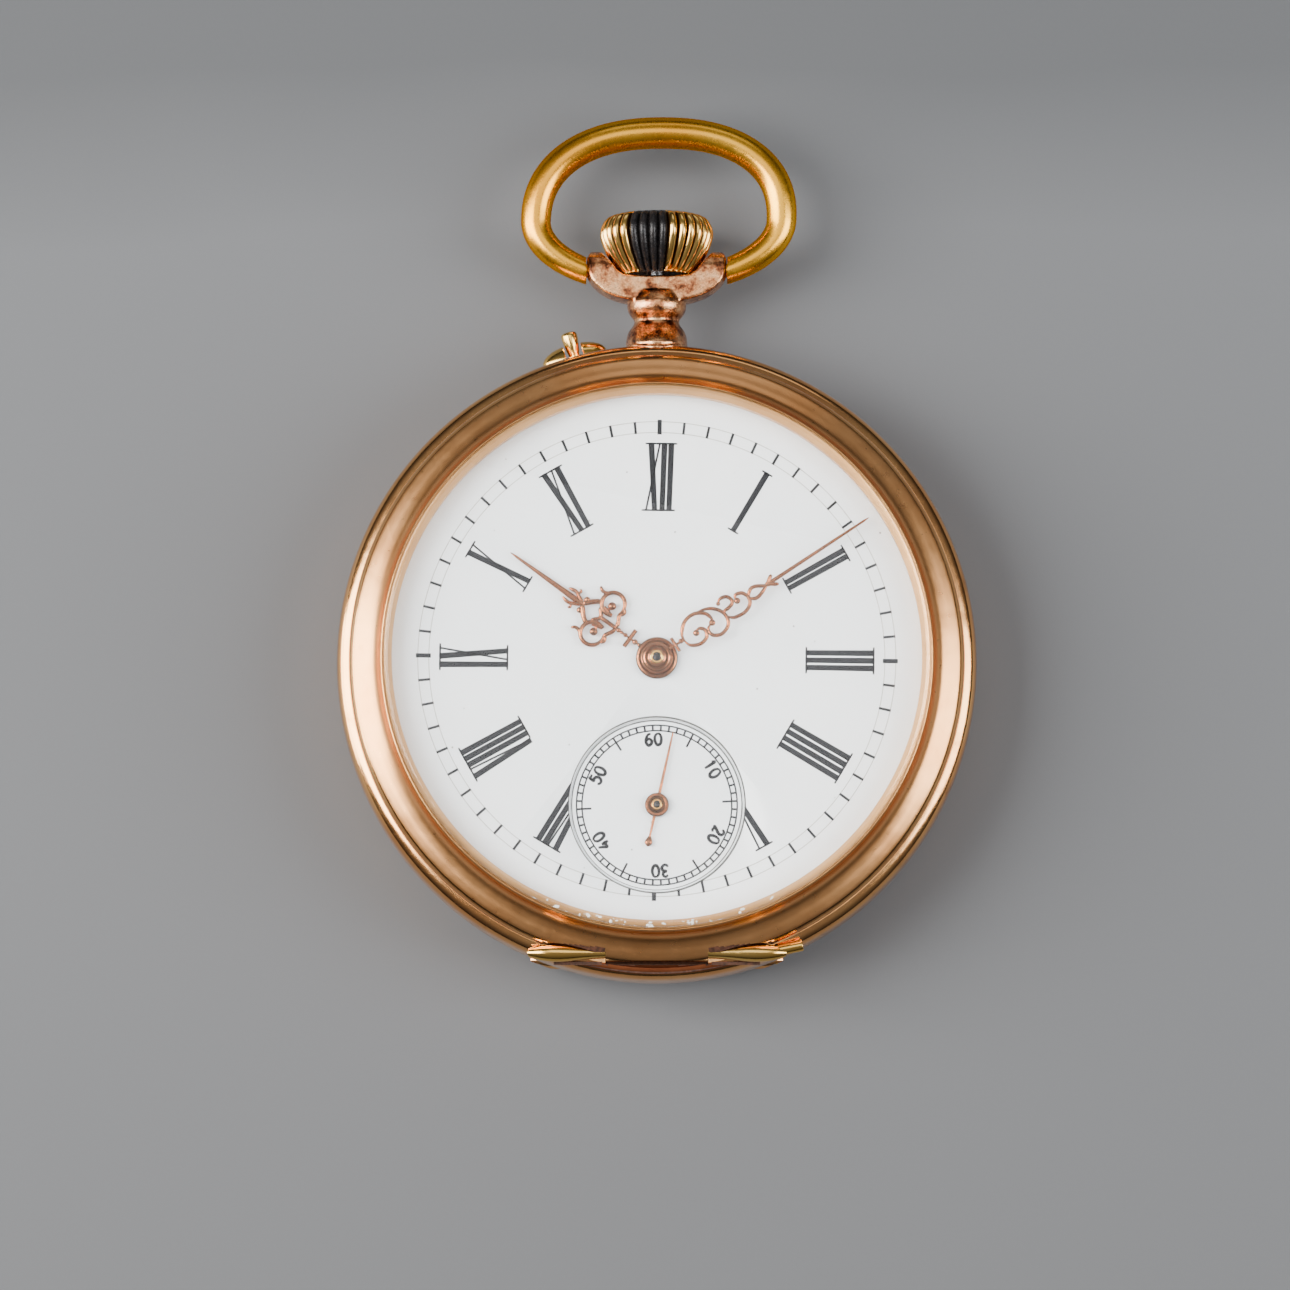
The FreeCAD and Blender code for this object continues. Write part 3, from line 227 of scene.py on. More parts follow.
def tarnished_copper():
    nodes = Nodes("tarnished_copper")
    patches = nodes.noise(0.9, 7.0, 0.62)
    colour = nodes.ramp(patches, (0.37, (0.05, 0.018, 0.010)), (0.44, (0.36, 0.12, 0.05)),
                        (0.52, (0.74, 0.33, 0.14)), (0.66, (0.96, 0.54, 0.27)))
    fine = nodes.noise(6.0, 6.0, 0.7)
    colour = nodes.mix(nodes.ramp(fine, (0.55, 0.0), (0.72, 0.7)), colour, (0.06, 0.026, 0.018))
    near_case = nodes.add("ShaderNodeSeparateXYZ")
    nodes.join(nodes.millimetres, near_case.inputs["Vector"])
    edge = nodes.math("SUBTRACT", CASE_R + 0.55, near_case.outputs["Y"])
    green = nodes.math("MULTIPLY", nodes.ramp(edge, (0.0, 0.0), (0.8, 1.0)),
                       nodes.ramp(fine, (0.4, 0.0), (0.55, 0.8)))
    sides = nodes.math("SUBTRACT", nodes.math("ABSOLUTE", near_case.outputs["X"]), 1.2)
    green = nodes.math("MULTIPLY", green, nodes.ramp(sides, (0.0, 0.0), (0.8, 1.0)))
    colour = nodes.mix(green, colour, (0.12, 0.13, 0.075))
    roughness = nodes.span(nodes.noise(2.5, 5.0), 0.10, 0.38)
    metal = nodes.math("SUBTRACT", 1.0, nodes.math("MULTIPLY", green, 0.8))
    normal = nodes.bump(nodes.noise(2.2, 6.0, 0.65), 0.5, 0.08)
    normal = nodes.bump(nodes.noise(14.0, 4.0), 0.25, 0.012, normal)
    nodes.set(Base_Color=colour, Metallic=metal, Roughness=roughness, Normal=normal)
    return nodes.material


def dark_core():
    nodes = Nodes("worn_dark_core")
    colour = nodes.ramp(nodes.noise(2.0, 6.0, 0.6), (0.3, (0.006, 0.006, 0.007)),
                        (0.66, (0.022, 0.018, 0.018)), (0.82, (0.09, 0.07, 0.055)))
    roughness = nodes.span(nodes.noise(3.0, 5.0), 0.12, 0.42)
    normal = nodes.bump(nodes.noise(5.0, 6.0, 0.65), 0.5, 0.05)
    nodes.set(Base_Color=colour, Metallic=0.35, Roughness=roughness, Normal=normal)
    return nodes.material


def enamel():
    nodes = Nodes("white_enamel")
    tint = nodes.ramp(nodes.noise(0.08, 3.0), (0.3, (0.80, 0.83, 0.85)), (0.7, (0.86, 0.875, 0.88)))
    speck = nodes.add("ShaderNodeTexVoronoi")
    speck.inputs["Scale"].default_value = 0.62
    speck.inputs["Randomness"].default_value = 1.0
    nodes.join(nodes.millimetres, speck.inputs["Vector"])
    dots = nodes.ramp(speck.outputs["Distance"], (0.035, 1.0), (0.06, 0.0))
    rare = nodes.ramp(nodes.noise(0.45, 2.0), (0.47, 0.0), (0.53, 0.85))
    colour = nodes.mix(nodes.math("MULTIPLY", dots, rare), tint, (0.18, 0.16, 0.14))
    haze = nodes.noise(3.5, 5.0, 0.6)
    roughness = nodes.span(haze, 0.07, 0.17)
    normal = nodes.bump(nodes.noise(0.5, 2.0), 0.08, 0.03)
    normal = nodes.bump(haze, 0.05, 0.004, normal)
    nodes.set(Base_Color=colour, Roughness=roughness, Normal=normal, Coat_Weight=0.2, Coat_Roughness=0.05)
    return nodes.material


def ink(name, colour, thin):
    """Fired dial paint, a little uneven where it is thin."""
    nodes = Nodes(name)
    patchy = nodes.ramp(nodes.noise(4.0, 5.0, 0.6), (0.35, colour), (0.75, thin))
    roughness = nodes.span(nodes.noise(6.0, 3.0), 0.25, 0.45)
    normal = nodes.bump(nodes.noise(12.0, 4.0), 0.2, 0.004)
    nodes.set(Base_Color=patchy, Roughness=roughness, Normal=normal, Specular_IOR_Level=0.2)
    return nodes.material


def clear_glass():
    """Clear crystal that lets light through to the dial without a dark shadow."""
    nodes = Nodes("clear_glass")
    smudge = nodes.noise(0.4, 5.0, 0.6)
    lines = nodes.scratches(0.8, 11.0)
    roughness = nodes.math("ADD", nodes.span(smudge, 0.0, 0.012), nodes.math("MULTIPLY", lines, 0.01))
    normal = nodes.bump(lines, 0.04, 0.003)
    nodes.set(Base_Color=(0.98, 0.99, 0.99), Roughness=roughness, Normal=normal, Transmission_Weight=1.0,
              IOR=1.40, Specular_IOR_Level=0.2)
    path = nodes.add("ShaderNodeLightPath")
    passing = nodes.add("ShaderNodeBsdfTransparent")
    blend = nodes.add("ShaderNodeMixShader")
    nodes.join(path.outputs["Is Shadow Ray"], blend.inputs["Fac"])
    nodes.join(nodes.shader.outputs["BSDF"], blend.inputs[1])
    nodes.join(passing.outputs["BSDF"], blend.inputs[2])
    nodes.join(blend.outputs["Shader"], nodes.output.inputs["Surface"])
    return nodes.material


def gilt():
    nodes = Nodes("frosted_gilt")
    colour = nodes.ramp(nodes.noise(0.5, 4.0), (0.35, (0.78, 0.60, 0.30)), (0.7, (0.86, 0.70, 0.40)))
    grain = nodes.noise(22.0, 4.0, 0.7)
    nodes.set(Base_Color=colour, Metallic=1.0, Roughness=nodes.span(grain, 0.3, 0.5),
              Normal=nodes.bump(grain, 0.35, 0.01))
    return nodes.material


def ground_steel(name, bright, shade):
    """Finely ground or blued steel with a directional grain."""
    nodes = Nodes(name)
    grain = nodes.noise(1.0, 4.0, 0.6, nodes.mapping(nodes.millimetres, (1.0, 26.0, 1.0)))
    colour = nodes.ramp(grain, (0.3, shade), (0.7, bright))
    nodes.set(Base_Color=colour, Metallic=1.0, Roughness=nodes.span(grain, 0.16, 0.34),
              Normal=nodes.bump(grain, 0.2, 0.006))
    return nodes.material


def ruby():
    nodes = Nodes("ruby_jewel")
    colour = nodes.ramp(nodes.noise(1.5, 3.0), (0.3, (0.45, 0.02, 0.07)), (0.7, (0.70, 0.06, 0.16)))
    nodes.set(Base_Color=colour, Roughness=nodes.span(nodes.noise(8.0), 0.04, 0.12), Transmission_Weight=0.35,
              IOR=1.76)
    return nodes.material


MATERIALS = {
    "case_gold": polished_metal("rose_gold_case", (0.93, 0.49, 0.19), (0.84, 0.38, 0.14), (0.26, 0.09, 0.035),
                                (0.10, 0.21), (0.56, 0.76), 0.12),
    "bow_gold": polished_metal("yellow_gold_bow", (0.98, 0.50, 0.045), (0.92, 0.40, 0.03), (0.40, 0.14, 0.02),
                               (0.21, 0.33), (0.62, 0.85), 0.08, 0.55, (0.9, 0.5, 0.15)),
    "crown_gold": polished_metal("yellow_gold_crown", (0.98, 0.62, 0.18), (0.90, 0.50, 0.11),
                                 (0.20, 0.10, 0.03), (0.10, 0.22), (0.62, 0.80), 0.2),
    "pendant_copper": tarnished_copper(),
    "crown_core_dark": dark_core(),
    "hand_copper": polished_metal("rose_gilt_hands", (0.62, 0.24, 0.10), (0.42, 0.14, 0.05),
                                  (0.07, 0.025, 0.012), (0.12, 0.24), (0.44, 0.58), 0.1, 1.8,
                                  (0.30, 0.12, 0.06)),
    "enamel": enamel(),
    "glass": clear_glass(),
    "gilt": gilt(),
    "wheel_brass": polished_metal("wheel_brass", (0.88, 0.66, 0.28), (0.82, 0.58, 0.22), (0.45, 0.30, 0.12)),
    "steel": ground_steel("ground_steel", (0.66, 0.67, 0.69), (0.48, 0.49, 0.51)),
    "blued_steel": ground_steel("blued_steel", (0.10, 0.16, 0.42), (0.05, 0.08, 0.24)),
    "ruby": ruby(),
}
SATIN_GOLD = polished_metal("satin_gold_seat", (0.62, 0.34, 0.14), (0.54, 0.27, 0.10), (0.30, 0.14, 0.05),
                            (0.34, 0.48), (0.62, 0.85), 0.1)
SATIN_COVE = polished_metal("satin_gold_cove", (0.90, 0.45, 0.18), (0.80, 0.36, 0.13), (0.30, 0.12, 0.045),
                            (0.24, 0.34), (0.64, 0.85), 0.08)
RED_WEAR = polished_metal("red_worn_gold", (0.52, 0.17, 0.07), (0.38, 0.10, 0.04), (0.10, 0.03, 0.015),
                          (0.25, 0.4), (0.5, 0.7))
# Painted shade: a near-black gold laid on the valleys of the crown's ribs and in the turned grooves of the hand
# hubs.
GROOVE_SHADE = polished_metal("painted_groove_shade", (0.10, 0.045, 0.016), (0.06, 0.025, 0.01), (0.02, 0.01, 0.006),
                        (0.35, 0.55), (0.5, 0.7), 0.1)
BLACK_INK = ink("black_dial_paint", (0.002, 0.002, 0.003), (0.006, 0.006, 0.008))
GREY_INK = ink("grey_dial_line", (0.34, 0.33, 0.30), (0.46, 0.45, 0.42))
RIM_INK = ink("sunk_edge_line", (0.045, 0.045, 0.04), (0.11, 0.105, 0.095))
GRIME = ink("dried_grime", (0.62, 0.58, 0.52), (0.85, 0.83, 0.78))
# Painted shade: a dark paint laid on the seams, relief groove and notches by the hinge, and along the crescent's
# foot.
SEAM_SHADE = ink("painted_seam_shade", (0.035, 0.018, 0.012), (0.12, 0.05, 0.03))

for name, node in frame["nodes"].items():
    slot_name = next(part["material_slot"] for part in frame["record"]["subparts"] if part["node"] == name)
    for index in range(max(1, len(node.material_slots))):
        if node.material_slots:
            node.material_slots[index].material = MATERIALS[slot_name]
        else:
            node.data.materials.append(MATERIALS[slot_name])


# ------------------------------------------------------------------ mesh helpers

def raw(name, verts, faces):
    """Mesh object with its points still in millimetres."""
    mesh = bpy.data.meshes.new(name)
    mesh.from_pydata([tuple(v) for v in verts], [], faces)
    mesh.validate()
    body = bpy.data.objects.new(name, mesh)
    SCENE.collection.objects.link(body)
    return body


def fix_normals(body):
    work = bmesh.new()
    work.from_mesh(body.data)
    bmesh.ops.remove_doubles(work, verts=work.verts, dist=1e-5)
    bmesh.ops.recalc_face_normals(work, faces=work.faces)
    work.to_mesh(body.data)
    work.free()
    return body


def finish(body, ride_on, slot_name, stands_for=(), material=None, crease=32.0):
    """Turn a millimetre mesh into a finished piece that rides on its body."""
    fix_normals(body)
    body.data.transform(Matrix.Scale(MM, 4))
    for face in body.data.polygons:
        face.use_smooth = True
    body.data.set_sharp_from_angle(angle=math.radians(crease))
    body.data.materials.clear()
    body.data.materials.append(material or MATERIALS[slot_name])
    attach(body, ride_on)
    if stands_for:
        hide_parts(*stands_for)
    return body


def paint(body, material, chosen):
    """Give a second material to the faces whose middle, in millimetres, is chosen."""
    body.data.materials.append(material)
    index = len(body.data.materials) - 1
    for face in body.data.polygons:
        if chosen(face.center / MM):
            face.material_index = index


def settle(body):
    """Apply every modifier to the mesh."""
    bpy.context.view_layer.update()
    evaluated = body.evaluated_get(bpy.context.evaluated_depsgraph_get())
    mesh = bpy.data.meshes.new_from_object(evaluated)
    body.modifiers.clear()
    body.data = mesh
    return body


def combine(body, others, operation):
    """Boolean with other objects, which are used up."""
    fix_normals(body)
    for other in others:
        fix_normals(other)
        modifier = body.modifiers.new("bool", "BOOLEAN")
        modifier.operation = operation
        modifier.solver = "EXACT"
        modifier.object = other
    settle(body)
    for other in others:
        bpy.data.objects.remove(other)
    return body


def join(name, bodies):
    """One object from several, without a boolean."""
    work = bmesh.new()
    for body in bodies:
        copy = body.data.copy()
        copy.transform(body.matrix_world)
        work.from_mesh(copy)
        bpy.data.objects.remove(body)
    mesh = bpy.data.meshes.new(name)
    work.to_mesh(mesh)
    work.free()
    result = bpy.data.objects.new(name, mesh)
    SCENE.collection.objects.link(result)
    return result


def bevelled(body, width, segments=3, angle=35.0):
    modifier = body.modifiers.new("bevel", "BEVEL")
    modifier.width = width
    modifier.segments = segments
    modifier.limit_method = "ANGLE"
    modifier.angle_limit = math.radians(angle)
    modifier.harden_normals = False
    return settle(body)


def curve_through(points, steps=8):
    """Smooth open line through points of any dimension."""
    line = []
    count = len(points)
    for index in range(count - 1):
        before, first = points[max(index - 1, 0)], points[index]
        last, after = points[index + 1], points[min(index + 2, count - 1)]
        for step in range(steps):
            t = step / steps
            line.append(tuple(0.5 * (2 * b + (c - a) * t + (2 * a - 5 * b + 4 * c - d) * t * t
                                     + (3 * b - a - 3 * c + d) * t ** 3)
                              for a, b, c, d in zip(before, first, last, after)))
    return line + [tuple(points[-1])]


def arc(first, middle, last, steps=12):
    """Points on the circle through three points, without the first one."""
    ax, ay = first
    bx, by = middle
    cx, cy = last
    d = 2 * (ax * (by - cy) + bx * (cy - ay) + cx * (ay - by))
    a, b, c = (x * x + y * y for x, y in (first, middle, last))
    ux = (a * (by - cy) + b * (cy - ay) + c * (ay - by)) / d
    uy = (a * (cx - bx) + b * (ax - cx) + c * (bx - ax)) / d
    radius = math.hypot(ax - ux, ay - uy)
    start = math.atan2(ay - uy, ax - ux)
    through = (math.atan2(by - uy, bx - ux) - start) % math.tau
    sweep = (math.atan2(cy - uy, cx - ux) - start) % math.tau
    if through > sweep:
        sweep -= math.tau
    turns = [start + sweep * i / steps for i in range(1, steps + 1)]
    return [(ux + radius * math.cos(turn), uy + radius * math.sin(turn)) for turn in turns]


def rounded(corners, radius, steps=3):
    """Profile with each listed corner softened; corners on the axis stay sharp."""
    soft = []
    count = len(corners)
    for index, corner in enumerate(corners):
        before, after = corners[index - 1], corners[(index + 1) % count]
        if corner[0] < 1e-6:
            soft.append(corner)
            continue
        to_before = Vector(before) - Vector(corner)
        to_after = Vector(after) - Vector(corner)
        reach = min(radius, to_before.length * 0.4, to_after.length * 0.4)
        if to_before.length < 1e-6 or to_after.length < 1e-6 or to_before.angle(to_after) > 2.9:
            soft.append(corner)
            continue
        start = Vector(corner) + to_before.normalized() * reach
        end = Vector(corner) + to_after.normalized() * reach
        for step in range(steps + 1):
            t = step / steps
            point = start.lerp(Vector(corner), t).lerp(Vector(corner).lerp(end, t), t)
            soft.append((point.x, point.y))
    return soft


def lathe(name, profile, segments=256, centre=(0.0, 0.0), on_stem=False):
    """Closed solid turned from (radius, height) points, upright or along the stem."""
    verts = []
    rows = []
    for radius, height in profile:
        if radius < 1e-6:
            rows.append([len(verts)] * segments)
            verts.append((0.0, 0.0, height))
            continue
        rows.append(list(range(len(verts), len(verts) + segments)))
        for index in range(segments):
            turn = math.tau * index / segments
            verts.append((radius * math.cos(turn), radius * math.sin(turn), height))
    faces = []
    open_profile = profile[0][0] < 1e-6 and profile[-1][0] < 1e-6
    for index in range(len(rows) - (1 if open_profile else 0)):
        near, far = rows[index], rows[(index + 1) % len(rows)]
        for step in range(segments):
            after = (step + 1) % segments
            loop = [near[step], near[after], far[after], far[step]]
            corner_ids = [v for i, v in enumerate(loop) if v not in loop[:i]]
            if len(corner_ids) > 2:
                faces.append(corner_ids)
    if on_stem:
        verts = [(x, z, STEM_Z - y) for x, y, z in verts]
    else:
        verts = [(x + centre[0], y + centre[1], z) for x, y, z in verts]
    return raw(name, verts, faces)


def stand(body, place, upward):
    """Move a body to a place and turn its Z axis to a direction."""
    turn = upward.to_track_quat("Z", "Y").to_matrix().to_4x4()
    body.data.transform(Matrix.Translation(Vector(place)) @ turn)
    return body


def rod(radius, start, end, segments=32):
    """Cylinder between two points."""
    along = Vector(end) - Vector(start)
    body = lathe("rod", [(0, 0), (radius, 0), (radius, along.length), (0, along.length)], segments)
    return stand(body, start, along)


def block(low_corner, high_corner):
    x0, y0, z0 = low_corner
    x1, y1, z1 = high_corner
    verts = [(x, y, z) for z in (z0, z1) for y in (y0, y1) for x in (x0, x1)]
    faces = [(0, 2, 3, 1), (4, 5, 7, 6), (0, 1, 5, 4), (2, 6, 7, 3), (0, 4, 6, 2), (1, 3, 7, 5)]
    return raw("block", verts, faces)


def tube(name, path, radii, sides=12, flat=1.0, closed=False):
    """Round bar swept along a 3D path with its own radius at each point."""
    points = [Vector(p) for p in path]
    count = len(points)
    verts = []
    for index, point in enumerate(points):
        before = points[index - 1] if index or closed else point
        after = points[(index + 1) % count] if index < count - 1 or closed else point
        heading = (after - before).normalized()
        side = heading.cross(Vector((0, 0, 1)))
        side = side.normalized() if side.length > 1e-6 else Vector((1, 0, 0))
        over = side.cross(heading).normalized()
        radius = radii[index] if isinstance(radii, (list, tuple)) else radii
        for step in range(sides):
            turn = math.tau * step / sides
            verts.append(point + side * radius * math.cos(turn) + over * radius * flat * math.sin(turn))
    faces = []
    for index in range(count if closed else count - 1):
        after = (index + 1) % count
        for step in range(sides):
            beside = (step + 1) % sides
            faces.append((index * sides + step, index * sides + beside,
                          after * sides + beside, after * sides + step))
    if not closed:
        faces.append(tuple(range(sides - 1, -1, -1)))
        faces.append(tuple(range((count - 1) * sides, count * sides)))
    return raw(name, verts, faces)


def bead(place, radius, flat=0.7, rings=10, sides=20):
    """Small rounded knob."""
    profile = [(radius * math.sin(math.pi * i / rings), -radius * flat * math.cos(math.pi * i / rings))
               for i in range(rings + 1)]
    profile[0], profile[-1] = (0.0, profile[0][1]), (0.0, profile[-1][1])
    body = lathe("bead", profile, sides)
    body.data.transform(Matrix.Translation(place))
    return body


class Flat:
    """Collects thin flat marks into one closed mesh lying on a surface."""

    def __init__(self, base, thickness):
        self.base = base
        self.top = base + thickness
        self.verts = []
        self.faces = []

    def strip(self, left, right):
        """Ribbon between two lines of equal length."""
        start = len(self.verts)
        count = len(left)
        for z in (self.base, self.top):
            for a, b in zip(left, right):
                self.verts.append((a[0], a[1], z))
                self.verts.append((b[0], b[1], z))
        half = 2 * count
        for i in range(count - 1):
            a = start + 2 * i
            self.faces.append((a, a + 2, a + 3, a + 1))
            self.faces.append((a + half, a + half + 1, a + half + 3, a + half + 2))
            self.faces.append((a, a + half, a + half + 2, a + 2))
            self.faces.append((a + 1, a + 3, a + half + 3, a + half + 1))
        for a, flip in ((start, False), (start + half - 2, True)):
            end = (a, a + 1, a + half + 1, a + half)
            self.faces.append(tuple(reversed(end)) if flip else end)

    def ribbon(self, line, width):
        left = []
        right = []
        for i, point in enumerate(line):
            before = line[max(i - 1, 0)]
            after = line[min(i + 1, len(line) - 1)]
            dx, dy = after[0] - before[0], after[1] - before[1]
            length = math.hypot(dx, dy) or 1.0
            half = (width(i / (len(line) - 1)) if callable(width) else width) / 2
            left.append((point[0] - dy / length * half, point[1] + dx / length * half))
            right.append((point[0] + dy / length * half, point[1] - dx / length * half))
        self.strip(left, right)

    def build(self, name):
        return raw(name, self.verts, self.faces)


# ------------------------------------------------------------------ case, bezel and covers

FAR = 26
ROUND = 360
KNUCKLE_HALF = 4.0
COVER_TUBE_HALF = KNUCKLE_HALF - 0.05
COVER_SIDE = KNUCKLE_HALF - 0.04
HINGE_HALF = PINS_HIGH[0]
PIN_HOLE_HALF = 13
TUBE_R = 2 * PIN_R
SEAM_Y = HINGE_Y - TUBE_R + 0.05
BAND_TOP = 9.65
BAND_LOW = BACK_HINGE_Z
OUTER_ROLL = curve_through([(24.25, BAND_LOW), (24.6, 3.6), (24.9, 4.8), (CASE_R, 6.3), (CASE_R, 7.8),
                            (24.93, 8.7), (24.75, 9.2), (24.4, 9.52), (24.0, BAND_TOP)], 6)


def along_hinge(radius, first, last, height):
    return rod(radius, (first, HINGE_Y, height), (last, HINGE_Y, height), 48)


def both_sides(maker):
    return [maker(1), maker(-1)]


LUG_RADIUS = CASE_R + 0.25
BACK_LUG_RADIUS = CASE_R + 0.02
LEAF = [(4.05, 0.40), (5.0, 0.45), (6.0, 0.57), (7.0, 0.69), (8.0, 0.72), (9.0, 0.60), (9.8, 0.38),
        (10.4, 0.10)]
LEAF_LIFT = 0.07
LEAF_Z = BEZEL_HINGE_Z + LEAF_LIFT
LEAF_GAP = 0.17
RELIEF_R = 0.95


def leaf(side, height, grow=0.0):
    """Hinge tube that swells out of the case like a leaf."""
    spots = curve_through(LEAF, 5)
    inner, inner_radius = spots[0]
    profile = [(0, inner - grow), (inner_radius + grow, inner - grow)]
    profile += [(radius + grow, x) for x, radius in spots] + [(0, spots[-1][0])]
    body = lathe("leaf", profile, 48)
    turn = Matrix.Rotation(math.radians(90 * side), 4, "Y")
    lift = LEAF_LIFT if height > STEM_Z else 0.0
    body.data.transform(Matrix.Translation((0, HINGE_Y, height + lift)) @ turn)
    return body


def knuckle(side, height):
    """Outer hinge tube, cut to the round outline of the case."""
    reach = LUG_RADIUS if height > STEM_Z else BACK_LUG_RADIUS
    swollen = leaf(side, height)
    limit = lathe("limit", [(0, height - 2), (reach, height - 2), (reach, height + 2), (0, height + 2)], 192)
    return combine(swollen, [limit], "INTERSECT")


def from_axis(middle, height):
    """Distance of a point from a hinge line."""
    return math.hypot(middle.y - HINGE_Y, middle.z - height)


def beside_tube(bottom, top):
    """Blocks that clear a cover's rim on both sides of its own hinge tube."""
    return [block((COVER_SIDE, -FAR, bottom), (FAR, HINGE_Y, top)),
            block((-FAR, -FAR, bottom), (-COVER_SIDE, HINGE_Y, top))]


def add_tube(cover, height, top=None):
    """Give a cover its own hinge tube, cut flat at the top if asked, with the hole for the pin."""
    own_tube = along_hinge(TUBE_R, -COVER_TUBE_HALF, COVER_TUBE_HALF, height)
    if top:
        combine(own_tube, [block((-9, -30, 9), (9, 0, top))], "INTERSECT")
    combine(cover, [own_tube], "UNION")
    combine(cover, [along_hinge(PIN_R + 0.03, -PIN_HOLE_HALF, PIN_HOLE_HALF, height)], "DIFFERENCE")


def make_case_band():
    profile = [(20.4, 2.32), (22.3, 2.32), (22.3, 2.1), (23.1, 2.1), (23.1, BAND_LOW)] + OUTER_ROLL + \
              [(22.1, BAND_TOP), (22.1, 10.3), (21.1, 10.3), (21.1, 7.9), (20.4, 7.9)]
    band = lathe("case_band", rounded(profile, 0.07), ROUND)
    crescent_profile = [(22.3, 9.5), (24.06, 9.5), (24.05, 9.75), (23.98, 9.92), (23.86, 10.0), (22.3, 10.0)]
    crescent = lathe("crescent", crescent_profile, ROUND)
    combine(crescent, [block((-8.2, -FAR, 9), (8.2, HINGE_Y - TUBE_R - 0.22, 11))], "INTERSECT")
    combine(band, [crescent], "UNION")
    cutters = [along_hinge(RELIEF_R, -KNUCKLE_HALF, KNUCKLE_HALF, BEZEL_HINGE_Z),
               along_hinge(TUBE_R + 0.1, -KNUCKLE_HALF, KNUCKLE_HALF, BACK_HINGE_Z),
               block((-7, HINGE_Y - 0.8, BAND_TOP + 0.01), (7, HINGE_Y + 1.05, 12)),
               block((-12, -FAR, 1.5), (12, HINGE_Y + 1.05, BAND_LOW)),
               rod(0.8, (0, 19, STEM_Z), (0, 26, STEM_Z)),
               rod(0.45, push_point(19), push_point(26)), rod(0.68, push_point(24.5), push_point(26))]
    combine(band, cutters, "DIFFERENCE")
    for height in (BEZEL_HINGE_Z, BACK_HINGE_Z):
        combine(band, both_sides(lambda side: knuckle(side, height)), "UNION")
        combine(band, [along_hinge(PIN_R, -PIN_HOLE_HALF, PIN_HOLE_HALF, height)], "DIFFERENCE")
    finish(band, "case", "case_gold", ["case_middle"])
    paint(band, RED_WEAR, lambda middle: middle.y < SEAM_Y and middle.z > 9.3 and abs(middle.x) < 7.0
          and math.hypot(middle.x, middle.y) < 24.5)
    paint(band, MATERIALS["crown_gold"], lambda middle: abs(middle.x) > KNUCKLE_HALF and middle.z > 9.8
          and from_axis(middle, LEAF_Z) < 0.76)
    # Painted shade: the front faces of the relief groove round the bezel's hinge axis get the dark seam-shade
    # paint.
    paint(band, SEAM_SHADE, lambda middle: abs(middle.x) < KNUCKLE_HALF + 0.02 and middle.y < HINGE_Y
          and 0.86 < from_axis(middle, BEZEL_HINGE_Z) < RELIEF_R + 0.03)


def make_seam_dirt():
    """Painted shade: dark strips in the seam on both sides of the bezel's tube, and along the foot of the
    crescent.
    """
    seam_shade_marks = Flat(BAND_TOP - 0.01, 0.03)
    for side in (1, -1):
        seam_shade_marks.ribbon([(side * x / 4, SEAM_Y - 0.15) for x in range(17, 33)], 0.26)
    finish(seam_shade_marks.build("painted_seam_strips"), "case", "case_gold", (), SEAM_SHADE, 80)
    # Painted shade along the crease where the crescent meets the outer roll.
    edge = Flat(9.48, 0.06)
    foot = 24.42
    edge.ribbon([(x / 4, -math.sqrt(foot ** 2 - (x / 4) ** 2)) for x in range(-24, 25)],
                lambda t: 0.16 * math.sin(math.pi * (0.04 + 0.92 * t)))
    finish(edge.build("painted_crescent_foot_shade"), "case", "case_gold", (), SEAM_SHADE, 80)


def push_point(distance):
    """A point on the push-pin's line."""
    axis = JOINTS["setting_pin_push"]["axis"]
    return (-axis[0] * distance, -axis[1] * distance, centre_of("setting_pin", 2))


COVE = curve_through([(23.82, 10.34), (23.55, 10.60), (23.1, 10.82), (22.6, 11.02), (22.15, 11.28),
                      (21.8, 11.66), (21.6, 12.12), (21.5, 12.5)], 6)


def make_bezel():
    crest = high("bezel")[2]
    profile = [(20.55, 10.5), (22.2, 10.5), (22.2, 9.68), (23.95, 9.68), (23.95, 10.08)] + COVE + \
              [(21.46, crest - 0.12), (21.38, crest - 0.02), (21.3, crest - 0.03), (21.2, crest - 0.14),
               (21.2, GLASS_LOW), (20.55, GLASS_LOW)]
    ring = lathe("bezel_ring", rounded(profile, 0.05), ROUND)
    cutters = [block((-FAR, -FAR, 9), (FAR, SEAM_Y, 14))]
    cutters += both_sides(lambda side: leaf(side, BEZEL_HINGE_Z, LEAF_GAP)) + beside_tube(9, 11.2)
    combine(ring, cutters, "DIFFERENCE")
    add_tube(ring, BEZEL_HINGE_Z, 10.42)
    finish(ring, "bezel_body", "case_gold", ["bezel"])
    paint(ring, SATIN_COVE, lambda middle: 21.62 < math.hypot(middle.x, middle.y) < 23.6 and middle.z > 10.5)
    paint(ring, SATIN_GOLD, lambda middle: math.hypot(middle.x, middle.y) < 21.26)
    # Painted shade: the bezel's faces in the notches over the hinge leaves, and its cut edge on the hinge line,
    # get the dark seam-shade paint.
    paint(ring, SEAM_SHADE, lambda middle: abs(middle.x) > KNUCKLE_HALF - 0.1 and middle.y < -21.9
          and (abs(middle.y - HINGE_Y) < 0.03 or from_axis(middle, LEAF_Z) < 0.9))


def make_crystal():
    edge = high("crystal")[0]
    profile = [(0, GLASS_LOW + 0.01), (edge, GLASS_LOW + 0.01), (edge, GLASS_HIGH - 0.28),
               (edge - 0.1, GLASS_HIGH - 0.08), (edge - 0.3, GLASS_HIGH), (0, GLASS_HIGH)]
    body = lathe("crystal_glass", rounded(profile, 0.05), 256)
    finish(body, "bezel_body", "glass", ["crystal"], crease=40)


